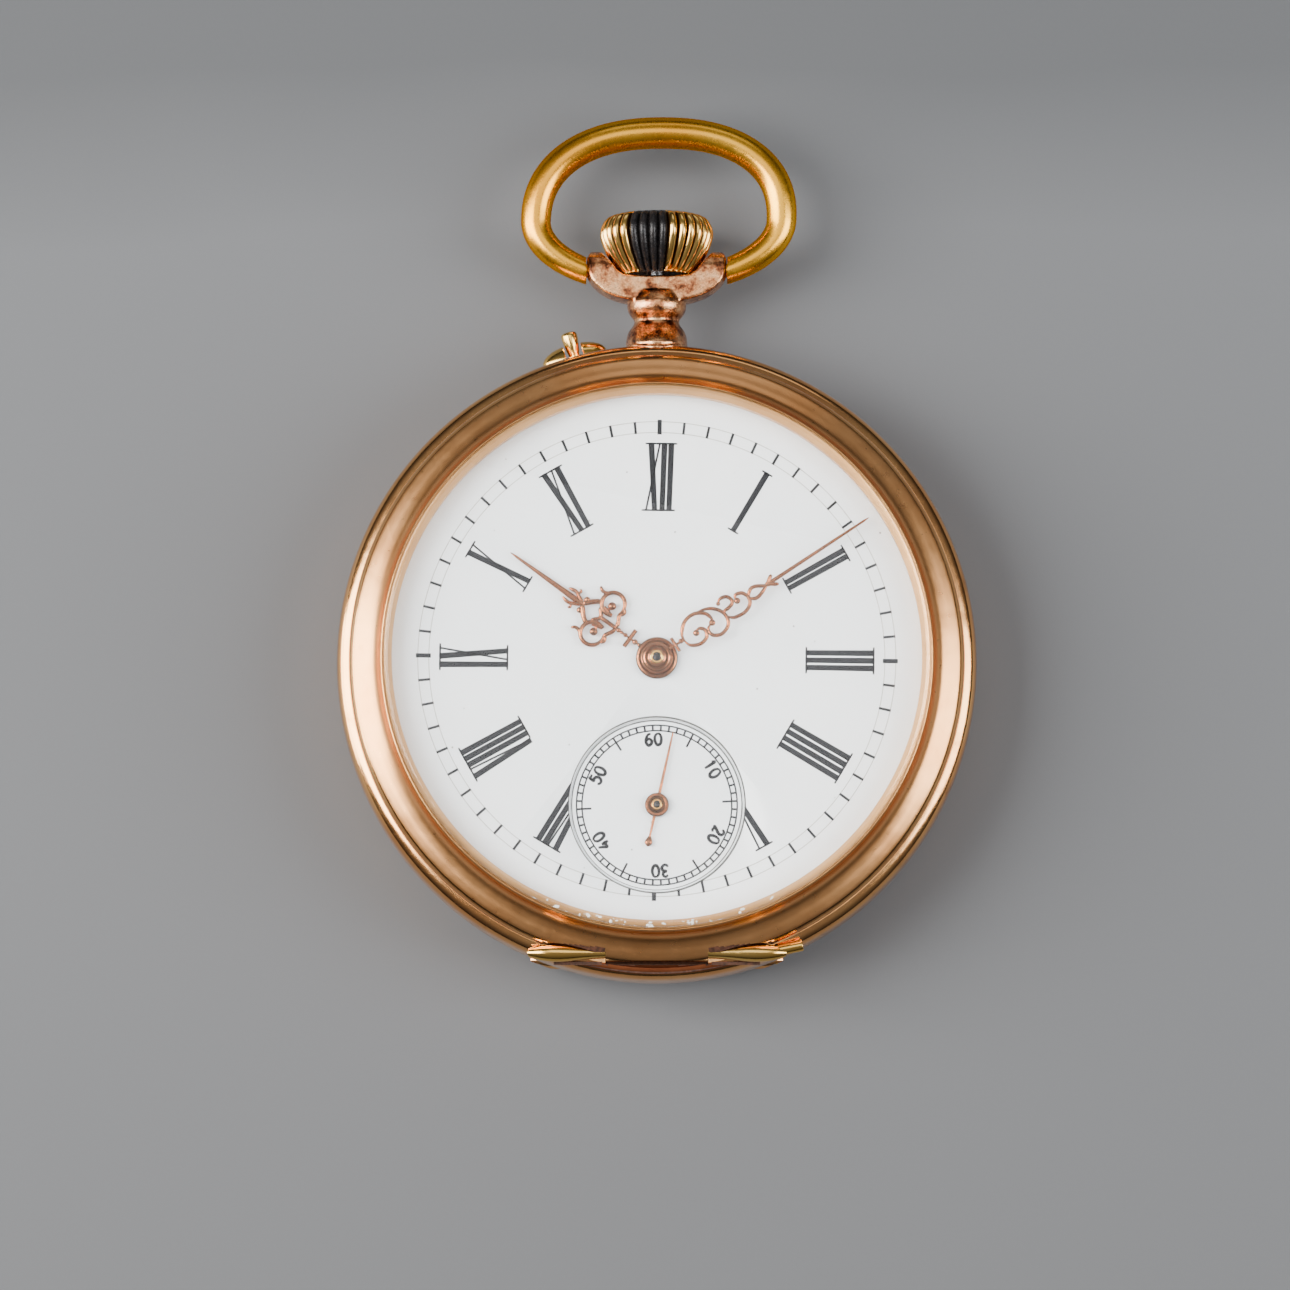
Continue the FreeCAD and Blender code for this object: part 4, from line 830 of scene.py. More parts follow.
def make_back_cover():
    dome = arc((16, 0), (20.6, 0.62), (23.9, 1.85), 20)
    inside = arc((23.2, 2.05), (20.3, 1.08), (16, 0.5), 20)
    profile = [(0, 0), (16, 0)] + dome + [(24.2, 2.1), (24.3, 2.45), (24.3, BACK_SEAM), (23.2, BACK_SEAM),
                                          (23.2, 2.05)] + inside + [(0, 0.5)]
    cover = lathe("back_cover_dome", rounded(profile, 0.05), ROUND)
    combine(cover, [lug_under_dome()], "UNION")
    cutters = [block((-FAR, -FAR, -1), (FAR, HINGE_Y - TUBE_R, BAND_LOW + 1)),
               block((-FAR, -FAR, -1), (FAR, HINGE_Y, BAND_LOW - TUBE_R * 0.9))]
    cutters += both_sides(lambda side: along_hinge(TUBE_R + 0.09, side * COVER_SIDE, side * 12.5,
                                                   BACK_HINGE_Z))
    combine(cover, cutters + beside_tube(-1, BAND_LOW), "DIFFERENCE")
    add_tube(cover, BACK_HINGE_Z)
    finish(cover, "back_body", "case_gold", ["back_cover"])


def lug_under_dome():
    """Lug that carries the back cover's hinge tube."""
    lug = block((-COVER_TUBE_HALF, HINGE_Y - TUBE_R, 1.3), (COVER_TUBE_HALF, HINGE_Y + 0.95, BAND_LOW))
    limit = lathe("limit", [(0, 0.9), (19, 0.9), (22.9, 1.5), (23.4, 1.8), (23.4, BAND_LOW), (0, BAND_LOW)],
                  192)
    return combine(lug, [limit], "INTERSECT")


def make_hinge_pins():
    pins = [along_hinge(PIN_R * 0.99, 1.0 - HINGE_HALF, HINGE_HALF - 0.9, height)
            for height in (BEZEL_HINGE_Z, BACK_HINGE_Z)]
    plug = rod(0.46, (HINGE_HALF - 1.2, HINGE_Y + 0.15, BEZEL_HINGE_Z),
               (HINGE_HALF + 0.9, HINGE_Y + 0.6, BEZEL_HINGE_Z))
    body = join("hinge_pin_pair", pins + [plug])
    bevelled(body, 0.06)
    finish(body, "case", "case_gold", ["hinge_pins"], MATERIALS["crown_gold"])


# ------------------------------------------------------------------ pendant, crown, bow and push-pin

EAR_Y = 31.3


def make_pendant():
    neck_line = curve_through([(1.9, 24.3), (2.3, 24.8), (2.42, 25.5), (2.25, 26.3), (1.95, 26.75),
                               (1.78, 27.05), (1.8, 27.35), (2.12, 27.75), (2.3, 28.2), (2.3, 28.7),
                               (2.1, 29.1), (1.9, 29.5)], 5)
    neck = lathe("neck", [(0, 24.3)] + neck_line + [(0, 29.6)], 96, on_stem=True)
    cup_out = curve_through([(1.9, 28.75), (2.9, 28.85), (4.2, 29.35), (5.1, 30.1), (5.47, 30.8), (5.5, 31.6),
                             (5.48, 32.3), (5.2, 32.72)], 5)
    cup_in = curve_through([(4.42, 32.72), (4.12, 32.2), (3.78, 31.7), (3.35, 31.15), (2.95, 30.78)], 5)
    cup = lathe("cup", [(0, 28.75)] + cup_out + cup_in + [(0, 30.72)], 128, on_stem=True)
    half = 1.52
    turns = [step * math.pi / 16 for step in range(1, 16)]
    outline = [(-half, 27.5), (half, 27.5), (half, EAR_Y)] + \
              [(half * math.cos(turn), EAR_Y + half * math.sin(turn)) for turn in turns] + [(-half, EAR_Y)]
    count = len(outline)
    verts = [(x, y, STEM_Z + z) for x in (-7, 7) for z, y in outline]
    faces = [tuple(range(count)), tuple(range(2 * count - 1, count - 1, -1))]
    faces += [(i, i + count, (i + 1) % count + count, (i + 1) % count) for i in range(count)]
    combine(cup, [raw("slice", verts, faces)], "INTERSECT")
    combine(neck, [cup], "UNION")
    for vertex in neck.data.vertices:
        raised = max(0.0, min(1.0, (26.4 - vertex.co.y) / 1.2))
        if vertex.co.z > STEM_Z:
            vertex.co.z = STEM_Z + (vertex.co.z - STEM_Z) * (1 + 0.34 * raised)
    remesh = neck.modifiers.new("remesh", "REMESH")
    remesh.mode = "VOXEL"
    remesh.voxel_size = 0.085
    smooth = neck.modifiers.new("smooth", "SMOOTH")
    smooth.factor = 0.5
    smooth.iterations = 7
    settle(neck)
    combine(neck, [rod(0.8, (0, 24, STEM_Z), (0, 31.5, STEM_Z)),
                   rod(0.58, (-7, EAR_Y, STEM_Z), (7, EAR_Y, STEM_Z))], "DIFFERENCE")
    finish(neck, "case", "pendant_copper", ["pendant"], crease=50)


def make_solder():
    """Rough collar of solder and verdigris where the neck meets the case."""
    radius = 2.45
    count = 72
    path = []
    radii = []
    for index in range(count):
        turn = math.tau * index / count
        x = radius * math.cos(turn)
        z = STEM_Z + radius * math.sin(turn) * (1.33 if math.sin(turn) > 0 else 1.0)
        around = CASE_R - 0.35 * max(0.0, (z - 8.0) / 1.3) ** 2 - 0.25 * max(0.0, (5.0 - z) / 2) ** 2
        path.append((x, math.sqrt(around ** 2 - x ** 2) + 0.02, z))
        radii.append(0.18 + 0.08 * random.random())
    body = tube("solder_collar", path, radii, 10, closed=True)
    finish(body, "case", "pendant_copper", crease=60)


CROWN_RIBS = 32
WORN_RIBS = 4
WORN_TURN = math.radians(-10)
CROWN_LINE = curve_through([(2.62, CROWN_LOW), (2.95, CROWN_LOW + 0.25), (3.5, CROWN_LOW + 0.95),
                            (4.05, CROWN_LOW + 1.85), (CROWN_R - 0.07, CROWN_LOW + 2.75),
                            (CROWN_R, CROWN_LOW + 3.25), (CROWN_R - 0.07, CROWN_LOW + 3.75),
                            (4.1, CROWN_HIGH - 0.42), (3.72, CROWN_HIGH - 0.16), (3.3, CROWN_HIGH - 0.05)], 5)


def crown_surface(first, last, steps, inset, inner, floor_y):
    """Closed ribbed wall over a range of angles, from inner radius out to the ribs."""
    pitch = math.tau / CROWN_RIBS
    verts = []
    faces = []
    profile = CROWN_LINE
    top = profile[-1][1]
    rows = len(profile) + 2
    full = abs(last - first - math.tau) < 1e-6
    columns = steps if full else steps + 1
    for column in range(columns):
        turn = first + (last - first) * column / steps
        share = ((turn - first) / pitch) % 1.0
        groove = abs(math.sin(math.pi * share)) ** 0.62
        for row, (radius, y) in enumerate(profile):
            fade = min(1.0, row / 4.0) * min(1.0, (len(profile) - row) / 6.0 + 0.25)
            reach = radius - inset - (1.0 - groove) * 0.5 * fade
            verts.append((reach * math.sin(turn), y, STEM_Z + reach * math.cos(turn)))
        for reach, y in ((inner, top), (inner, floor_y)):
            verts.append((reach * math.sin(turn), y, STEM_Z + reach * math.cos(turn)))
    for column in range(steps):
        near = column * rows
        far = ((column + 1) % columns) * rows
        for row in range(rows):
            after = (row + 1) % rows
            faces.append((near + row, far + row, far + after, near + after))
    if not full:
        faces.append(tuple(range(rows)))
        faces.append(tuple(range((columns - 1) * rows + rows - 1, (columns - 1) * rows - 1, -1)))
    return raw("crown_wall", verts, faces)


def make_crown():
    pitch = math.tau / CROWN_RIBS
    half = WORN_RIBS * pitch / 2
    shell = crown_surface(WORN_TURN + half, WORN_TURN + math.tau - half, 560, 0.0, 2.2, CROWN_LOW)
    cap_y = CROWN_HIGH - 0.05
    cap = lathe("cap", [(0, cap_y - 0.5), (2.3, cap_y - 0.5), (2.9, cap_y - 0.3), (2.9, cap_y - 0.02),
                        (2.7, CROWN_HIGH), (0, CROWN_HIGH)], 96, on_stem=True)
    gold = join("crown_ribbed_shell", [shell, cap])
    finish(gold, "crown_body", "crown_gold", ["crown_shell"], crease=42)

    def in_groove(middle):
        turn = math.atan2(middle.x, middle.z - STEM_Z) - WORN_TURN - half
        share = (turn / pitch) % 1.0
        reach = math.hypot(middle.x, middle.z - STEM_Z)
        return reach > 2.75 and CROWN_LOW + 0.15 < middle.y < CROWN_HIGH - 0.25 and not 0.17 < share < 0.83

    # Painted shade: faces in the valleys between the crown's ribs get the near-black gold.
    paint(gold, GROOVE_SHADE, in_groove)
    worn = crown_surface(WORN_TURN - half + 0.006, WORN_TURN + half - 0.006, 80, 0.08, 2.0, CROWN_LOW)
    plug = lathe("plug", [(0.6, CROWN_LOW + 0.02), (2.15, CROWN_LOW + 0.02), (2.15, CROWN_HIGH - 0.58),
                          (0.6, CROWN_HIGH - 0.58)], 64, on_stem=True)
    core = join("crown_dark_core", [worn, plug])
    finish(core, "crown_body", "crown_core_dark", ["crown_core"], crease=42)


BOW_LEAN = 0.04


def make_bow():
    pivot_y = JOINTS["bow_swing"]["pos_m"][1] / MM
    outer_half = high("bow")[0]
    outer_top = high("bow")[1]
    wire = 1.25
    half_width = outer_half - 1.2
    middle_y = 35.35
    rise = outer_top + 0.42 - wire - middle_y
    fall = 4.97
    end_angle = 150.0
    path = []
    radii = []
    count = 150
    for index in range(count + 1):
        degrees = -end_angle + 2 * end_angle * index / count
        turn = math.radians(degrees)
        height, power = (rise, 0.87) if abs(degrees) < 90 else (fall, 1.0)
        across = math.copysign(abs(math.sin(turn)) ** power, turn)
        along = math.copysign(abs(math.cos(turn)) ** power, math.cos(turn))
        y = middle_y + height * along
        path.append((half_width * across + BOW_LEAN * (y - pivot_y), y, STEM_Z))
        thinning = max(0.0, (abs(degrees) - 80) / (end_angle - 80))
        radii.append(wire - 0.05 * min(1.0, abs(degrees) / 80) - 0.2 * thinning ** 1.2)
    loop = tube("bow_loop", path, radii, 48)
    combine(loop, [block((-5.56, pivot_y - 3, 3), (5.56, pivot_y + 3, 9))], "DIFFERENCE")
    bevelled(loop, 0.1, 3, 60)
    pivots = both_sides(lambda side: rod(0.54, (side * 4.62, pivot_y, STEM_Z), (side * 6.2, pivot_y, STEM_Z)))
    body = join("bow_wire", [loop] + pivots)
    finish(body, "bow_body", "bow_gold", ["bow"], crease=45)


def make_push_pin():
    outward = (Vector(push_point(1)) - Vector(push_point(0))).normalized()
    profile = [(0, 0), (0.4, 0), (0.4, 0.7), (0.6, 0.7), (0.6, 1.0), (0.4, 1.0), (0.4, 6.2), (0.50, 6.6),
               (0.58, 7.1), (0.64, 7.5), (0.65, 7.8), (0.59, 8.0), (0.38, 8.09), (0, 8.12)]
    pin = stand(lathe("push_pin", rounded(profile, 0.05), 40), push_point(19.2), outward)
    finish(pin, "push_pin_body", "steel", ["setting_pin"], MATERIALS["crown_gold"])
    halves = []
    line = [(1.25 * math.cos(math.asin(t)) ** 0.9, 2.6 * t) for t in (0.999, 0.97, 0.9, 0.8, 0.66, 0.5, 0.3)]
    for side in (1, -1):
        half = lathe("half", [(0, 2.6)] + line + [(1.2, 0.76), (1.12, 0.7), (0, 0.7)], 48)
        if side < 0:
            half.data.transform(Matrix.Rotation(math.pi, 4, "X"))
        halves.append(half)
    tangent = Vector((outward.y, -outward.x, 0))
    guard = stand(join("push_pin_guard", halves), push_point(25.1), tangent)
    finish(guard, "case", "case_gold", ["setting_pin_guard"], MATERIALS["crown_gold"])


# ------------------------------------------------------------------ dial

DIAL_TURN = -0.7
SUB_TURN = 3.0
BEVEL_R = SUB_R + 0.1
FOOT_REACH = 18.5


def make_dial():
    edge = high("dial")[0]
    plate_low = DIAL_TOP - 1.0
    profile = [(1.3, plate_low), (edge, plate_low), (edge, DIAL_TOP - 0.25), (edge - 0.35, DIAL_TOP - 0.05),
               (edge - 0.9, DIAL_TOP), (1.38, DIAL_TOP), (1.3, DIAL_TOP - 0.08)]
    plate = lathe("dial_plate", rounded(profile, 0.05), 256)
    sink_line = [(0, plate_low - 1), (SUB_R, plate_low - 1), (SUB_R, SECONDS_TOP + 0.02),
                 (SUB_R + 0.02, SECONDS_TOP + 0.12), (SUB_R + 0.06, DIAL_TOP - 0.03),
                 (BEVEL_R, DIAL_TOP + 0.003), (BEVEL_R, DIAL_TOP + 1), (0, DIAL_TOP + 1)]
    combine(plate, [lathe("sink", sink_line, 192, (SUB_X, SUB_Y))], "DIFFERENCE")
    feet = []
    for degrees in (50, 170, 300):
        turn = math.radians(degrees)
        x, y = FOOT_REACH * math.cos(turn), FOOT_REACH * math.sin(turn)
        feet.append(rod(0.4, (x, y, low("dial")[2]), (x, y, plate_low), 16))
    finish(join("dial_enamel", [plate] + feet), "case", "enamel", ["dial"], crease=40)
    inner = lathe("seconds_enamel", rounded([(0.5, plate_low), (SUB_R - 0.01, plate_low),
                                             (SUB_R - 0.01, SECONDS_TOP - 0.04), (SUB_R - 0.1, SECONDS_TOP),
                                             (0.54, SECONDS_TOP), (0.5, SECONDS_TOP - 0.04)], 0.02), 192,
                  (SUB_X, SUB_Y))
    finish(inner, "case", "enamel", ["seconds_dial"], crease=40)


def clock_point(degrees, across, out, centre):
    """Point from a clockwise angle, a sideways and an outward distance."""
    turn = math.radians(degrees)
    return (centre[0] + across * math.cos(turn) + out * math.sin(turn),
            centre[1] + out * math.cos(turn) - across * math.sin(turn))


def on_dial(clock_degrees, across, out):
    return clock_point(clock_degrees - DIAL_TURN, across, out, (0, 0))


def on_seconds(clock_degrees, across, out):
    return clock_point(clock_degrees - SUB_TURN, across, out, (SUB_X, SUB_Y))


def in_sink(point, margin=0.03):
    return math.hypot(point[0] - SUB_X, point[1] - SUB_Y) < BEVEL_R + margin


def trimmed(outer, inner):
    """Shorten a line from its inner end until it is clear of the seconds dial."""
    if not in_sink(inner):
        return inner
    if in_sink(outer):
        return None
    clear, hidden = 0.0, 1.0
    for _ in range(24):
        middle = (clear + hidden) / 2
        point = tuple(o + (i - o) * middle for o, i in zip(outer, inner))
        clear, hidden = (clear, middle) if in_sink(point) else (middle, hidden)
    return tuple(o + (i - o) * clear for o, i in zip(outer, inner))


NUMERAL_IN = 11.56
NUMERAL_OUT = 16.77
THICK = 0.465
THIN = 0.15
SERIF = 0.15
NUMERALS = {
    1: [("bar", 0, 0)], 2: [("bar", -0.27, -0.25), ("bar", 0.27, 0.25)],
    3: [("bar", x * 1.04, x) for x in (-0.57, 0, 0.57)],
    4: [("bar", x * 1.04, x) for x in (-0.86, -0.287, 0.287, 0.86)],
    5: [("bar", -0.36, 0.0), ("hair", 0.34, 0.06)],
    7: [("bar", -0.85, -0.5), ("hair", -0.18, -0.45), ("bar", 0.12, 0.02), ("bar", 0.68, 0.58)],
    8: [("bar", -1.12, -0.78), ("hair", -0.48, -0.74), ("bar", -0.12, -0.14), ("bar", 0.42, 0.38),
        ("bar", 0.96, 0.9)],
    9: [("bar", -0.66, -0.62), ("bar", -0.02, 0.44), ("hair", 0.62, -0.24)],
    10: [("bar", -0.34, 0.12), ("hair", 0.34, -0.52)],
    11: [("bar", -0.62, -0.18), ("hair", 0.05, -0.84), ("bar", 0.52, 0.4)],
    12: [("bar", -0.62, -0.32), ("hair", 0.04, -0.98), ("bar", 0.4, 0.26), ("bar", 0.93, 0.8)],
}
VERTEX_ENDS = {(5, 0), (5, 1), (7, 0), (7, 1), (8, 0), (8, 1)}
INNER_TRACK = 17.64
OUTER_TRACK = 18.49
TURN_STEPS = 240


def draw_stroke(marks, sides):
    """One straight mark between two (outer, inner) edges, unless it is hidden."""
    (outer_a, inner_a), (outer_b, inner_b) = sides
    if inner_a and inner_b:
        marks.strip([outer_a, inner_a], [outer_b, inner_b])


def draw_numeral(marks, hour):
    angle = hour * 30
    for index, (kind, top, bottom) in enumerate(NUMERALS[hour]):
        width = THICK if kind == "bar" else THIN
        sides = []
        for sign in (-0.5, 0.5):
            squeeze = 0.9 if kind == "bar" else 1.0
            outer = on_dial(angle, top + sign * width, NUMERAL_OUT)
            inner = trimmed(outer, on_dial(angle, bottom + sign * width * squeeze, NUMERAL_IN))
            sides.append((outer, inner))
        draw_stroke(marks, sides)
        reach = 0.46 if kind == "bar" else 0.34
        ends = [(top, NUMERAL_OUT)]
        if (hour, index) not in VERTEX_ENDS:
            ends.append((bottom, NUMERAL_IN))
        for across, out in ends:
            line = [on_dial(angle, across + share * reach, out) for share in (-1, -0.5, 0, 0.5, 1)]
            if not any(in_sink(point) for point in line):
                marks.ribbon(line, lambda t: SERIF * (1.1 - 0.6 * abs(t - 0.5)))


def draw_circle(marks, radius, width):
    """Closed line round the seconds dial."""
    line = []
    for step in range(TURN_STEPS + 1):
        turn = math.tau * step / TURN_STEPS
        line.append((SUB_X + radius * math.cos(turn), SUB_Y + radius * math.sin(turn)))
    marks.ribbon(line, width)


def draw_track(marks, radius):
    """Thin minute circle, interrupted where the seconds dial lies."""
    run = []
    for step in range(721):
        turn = math.radians(step / 2 + 180)
        point = (radius * math.sin(turn), radius * math.cos(turn))
        hidden = in_sink(point)
        if not hidden:
            run.append(point)
        if (hidden or step == 720) and len(run) > 1:
            marks.ribbon(run, 0.06)
        if hidden:
            run = []


def printed(marks, name, material):
    finish(marks.build(name), "case", "enamel", (), material, 80)


def make_dial_printing():
    base = DIAL_TOP - 0.004
    black = Flat(base, 0.02)
    for hour in NUMERALS:
        draw_numeral(black, hour)
    for minute in range(60):
        angle = minute * 6
        half = 0.17 if minute % 15 == 0 else 0.10
        reach = 0.05 if minute % 15 else 0.16
        sides = []
        for sign in (-half, half):
            outer = on_dial(angle, sign, OUTER_TRACK + (0.34 if minute == 30 else reach))
            sides.append((outer, trimmed(outer, on_dial(angle, sign, INNER_TRACK - reach))))
        draw_stroke(black, sides)
    printed(black, "dial_numerals", BLACK_INK)
    grey = Flat(base - 0.002, 0.012)
    for radius in (INNER_TRACK, OUTER_TRACK):
        draw_track(grey, radius)
    printed(grey, "dial_minute_track", GREY_INK)
    rim = Flat(DIAL_TOP - 0.003, 0.009)
    draw_circle(rim, BEVEL_R + 0.02, lambda t: 0.11 + 0.03 * math.sin(9 * t))
    printed(rim, "sunk_dial_rim", RIM_INK)
    foot = Flat(SECONDS_TOP - 0.003, 0.009)
    draw_circle(foot, SUB_R - 0.13, lambda t: 0.09 + 0.03 * math.sin(7 * t))
    printed(foot, "sunk_dial_foot", RIM_INK)


DIGITS = {
    "0": [[(0.27, 0.98), (0.08, 0.80), (0.02, 0.48), (0.12, 0.12), (0.29, 0.02), (0.47, 0.16), (0.55, 0.50),
           (0.46, 0.86), (0.27, 0.98)]],
    "1": [[(0.10, 0.78), (0.26, 0.98), (0.27, 0.5), (0.26, 0.02)]],
    "2": [[(0.06, 0.76), (0.10, 0.92), (0.27, 0.99), (0.46, 0.86), (0.44, 0.62), (0.22, 0.32), (0.05, 0.06),
           (0.20, 0.12), (0.36, 0.03), (0.52, 0.14)]],
    "3": [[(0.06, 0.84), (0.24, 0.99), (0.44, 0.84), (0.38, 0.60), (0.20, 0.54), (0.42, 0.46), (0.52, 0.24),
           (0.34, 0.02), (0.12, 0.05), (0.04, 0.20)]],
    "4": [[(0.34, 0.98), (0.16, 0.62), (0.03, 0.34), (0.28, 0.34), (0.54, 0.36)],
          [(0.40, 0.62), (0.38, 0.02)]],
    "5": [[(0.48, 0.97), (0.28, 0.93), (0.14, 0.96), (0.10, 0.60), (0.26, 0.64), (0.48, 0.50), (0.50, 0.20),
           (0.30, 0.02), (0.08, 0.08), (0.05, 0.22)]],
    "6": [[(0.46, 0.94), (0.26, 0.90), (0.08, 0.60), (0.06, 0.26), (0.24, 0.02), (0.46, 0.14), (0.50, 0.38),
           (0.32, 0.55), (0.12, 0.42), (0.08, 0.26)]],
}


def make_seconds_printing():
    marks = Flat(SECONDS_TOP - 0.004, 0.02)
    outer_r, inner_r = 6.2, 5.78
    for radius in (outer_r, inner_r):
        draw_circle(marks, radius, 0.12)
    for second in range(60):
        first = 5.05 if second % 10 == 5 else inner_r
        draw_stroke(marks, [(on_seconds(second * 6, edge, outer_r), on_seconds(second * 6, edge, first))
                            for edge in (-0.08, 0.08)])
    height = 0.95
    for tens in range(6):
        label = "60" if tens == 0 else str(tens) + "0"
        for place, character in enumerate(label):
            for stroke in DIGITS[character]:
                line = curve_through(stroke, 7)
                spots = [on_seconds(tens * 60, (x - 0.28) * height * 1.02 + (place - 0.5) * 0.72,
                                    4.64 + y * height) for x, y in line]
                marks.ribbon(spots, lambda t: 0.17 + 0.09 * math.sin(math.pi * t))
    printed(marks, "seconds_printing", BLACK_INK)


# ------------------------------------------------------------------ hands

HOUR_ANGLE = 54.1
MINUTE_ANGLE = -56.5
SECONDS_ANGLE = -12.5
WIRE_FULLNESS = 1.95


def hand_matrix(angle, centre, height):
    """Turn a hand drawn along X to its place; the angle is to the left of twelve o'clock."""
    angle += 90
    return Matrix.Translation((centre[0], centre[1], height)) @ Matrix.Rotation(math.radians(angle), 4, "Z")


def wire(points, width, steps=10, flat=0.85, taper=None):
    """Rounded strip of hand metal through (along, left) points."""
    width *= WIRE_FULLNESS
    line = curve_through(points, steps)
    count = len(line)
    if taper is None:
        radii = [width / 2 * min(1.0, 0.45 + 3.0 * min(i, count - 1 - i) / count) for i in range(count)]
    else:
        radii = [(taper[0] + (taper[1] - taper[0]) * i / (count - 1)) / 2 for i in range(count)]
    return tube("wire", [(x, y, 0.0) for x, y in line], radii, 10, flat)


def cross_bar(along, length, width):
    thick = width * 1.3
    return wire([(along, -length / 2), (along, 0), (along, length / 2)], width, 4, 0.8, (thick, thick))


def rings(body, centre, spans):
    """Painted shade: a dark material on the faces of the turned grooves of a hand's hub."""
    def chosen(middle):
        reach = math.hypot(middle.x - centre[0], middle.y - centre[1])
        return any(first < reach < last for first, last in spans)
    paint(body, GROOVE_SHADE, chosen)


def arbor_tip(name, centre, height, body_name, scale=1.0):
    """Gilt pipe with the dark steel end of the arbor in the middle."""
    profile = [(0, height - 0.2), (0.52, height - 0.2), (0.52, height + 0.01), (0.46, height + 0.05),
               (0.36, height + 0.05), (0.31, height + 0.01), (0.27, height + 0.01), (0.24, height + 0.06),
               (0.14, height + 0.10), (0, height + 0.11)]
    tip = lathe(name, rounded([(r * scale, z) for r, z in profile], 0.015), 64, centre)
    finish(tip, body_name, "hand_copper", (), MATERIALS["crown_gold"], 50)
    paint(tip, MATERIALS["crown_core_dark"],
          lambda middle: math.hypot(middle.x - centre[0], middle.y - centre[1]) < 0.33 * scale)


def make_hour_hand():
    parts = [bead((1.66, 0, 0), 0.17), bead((2.08, 0, 0), 0.22), cross_bar(2.57, 1.58, 0.26),
             bead((3.0, 0, 0), 0.17), bead((3.36, 0, 0), 0.14), bead((3.66, 0, 0), 0.19),
             wire([(1.3, 0), (2.6, 0), (4.0, 0)], 0.16, 6, 0.8, (0.18, 0.16)),
             wire([(3.9, 0), (4.6, 0), (5.4, 0)], 0.17), bead((5.4, 0, 0), 0.16)]
    for s in (1, -1):
        parts.append(wire([(3.9, s * 0.05), (4.02, s * 0.45), (4.22, s * 0.8), (4.32, s * 1.1)], 0.17))
        circle = [(5.18 - 0.9 * math.cos(math.radians(a)), s * (1.41 + 0.9 * math.sin(math.radians(a))))
                  for a in range(-28, 300, 14)]
        hook = [(5.62, s * 0.82), (5.32, s * 0.78), (5.12, s * 0.98), (5.16, s * 1.2)]
        parts.append(wire(circle + hook, 0.17, 4))
        parts.append(bead((5.16, s * 1.22, 0), 0.32, 0.7))
        parts.append(wire([(5.3, s * 0.05), (5.55, s * 0.28), (5.86, s * 0.62)], 0.16))
        parts.append(wire([(4.22, s * 0.95), (4.05, s * 1.35), (4.28, s * 1.62)], 0.13))
        parts.append(wire([(5.9, s * 1.98), (6.2, s * 1.78), (6.52, s * 1.78), (6.78, s * 1.98)], 0.14))
        parts.append(wire([(5.9, s * 0.9), (6.2, s * 0.92), (6.6, s * 0.6), (6.95, s * 0.22),
                           (7.2, s * 0.08)], 0.2))
        parts.append(bead((7.02, s * 0.5, 0), 0.24, 0.7))
        parts.append(wire([(7.15, s * 0.06), (7.6, s * 0.3), (8.1, s * 0.52), (8.7, s * 0.42)], 0.15))
        parts.append(wire([(7.9, s * 0.5), (7.75, s * 0.72), (7.92, s * 0.86)], 0.1))
    blade = tube("blade", [(6.9, 0, 0), (7.6, 0, 0), (8.46, 0, 0), (11.0, 0, 0), (13.4, 0, 0), (14.0, 0, 0)],
                 [0.20, 0.24, 0.23, 0.17, 0.10, 0.03], 10, 0.75)
    body = join("hour_hand_scrollwork", parts + [blade])
    body.data.transform(hand_matrix(HOUR_ANGLE, (0, 0), HOUR_Z + 0.02))
    base, top = low("hour_hand")[2], high("hour_hand")[2]
    boss = lathe("hub", rounded([(1.1, base), (1.62, base), (1.62, top - 0.2), (1.54, top - 0.06),
                                 (1.4, top - 0.02), (1.34, top - 0.1), (1.26, top - 0.1), (1.2, top - 0.01),
                                 (1.1, top)], 0.025), 96)
    body = join("hour_hand_scrollwork", [body, boss])
    finish(body, "hour_body", "hand_copper", ["hour_hand"], crease=45)
    rings(body, (0, 0), ((1.24, 1.36), (1.55, 1.7)))


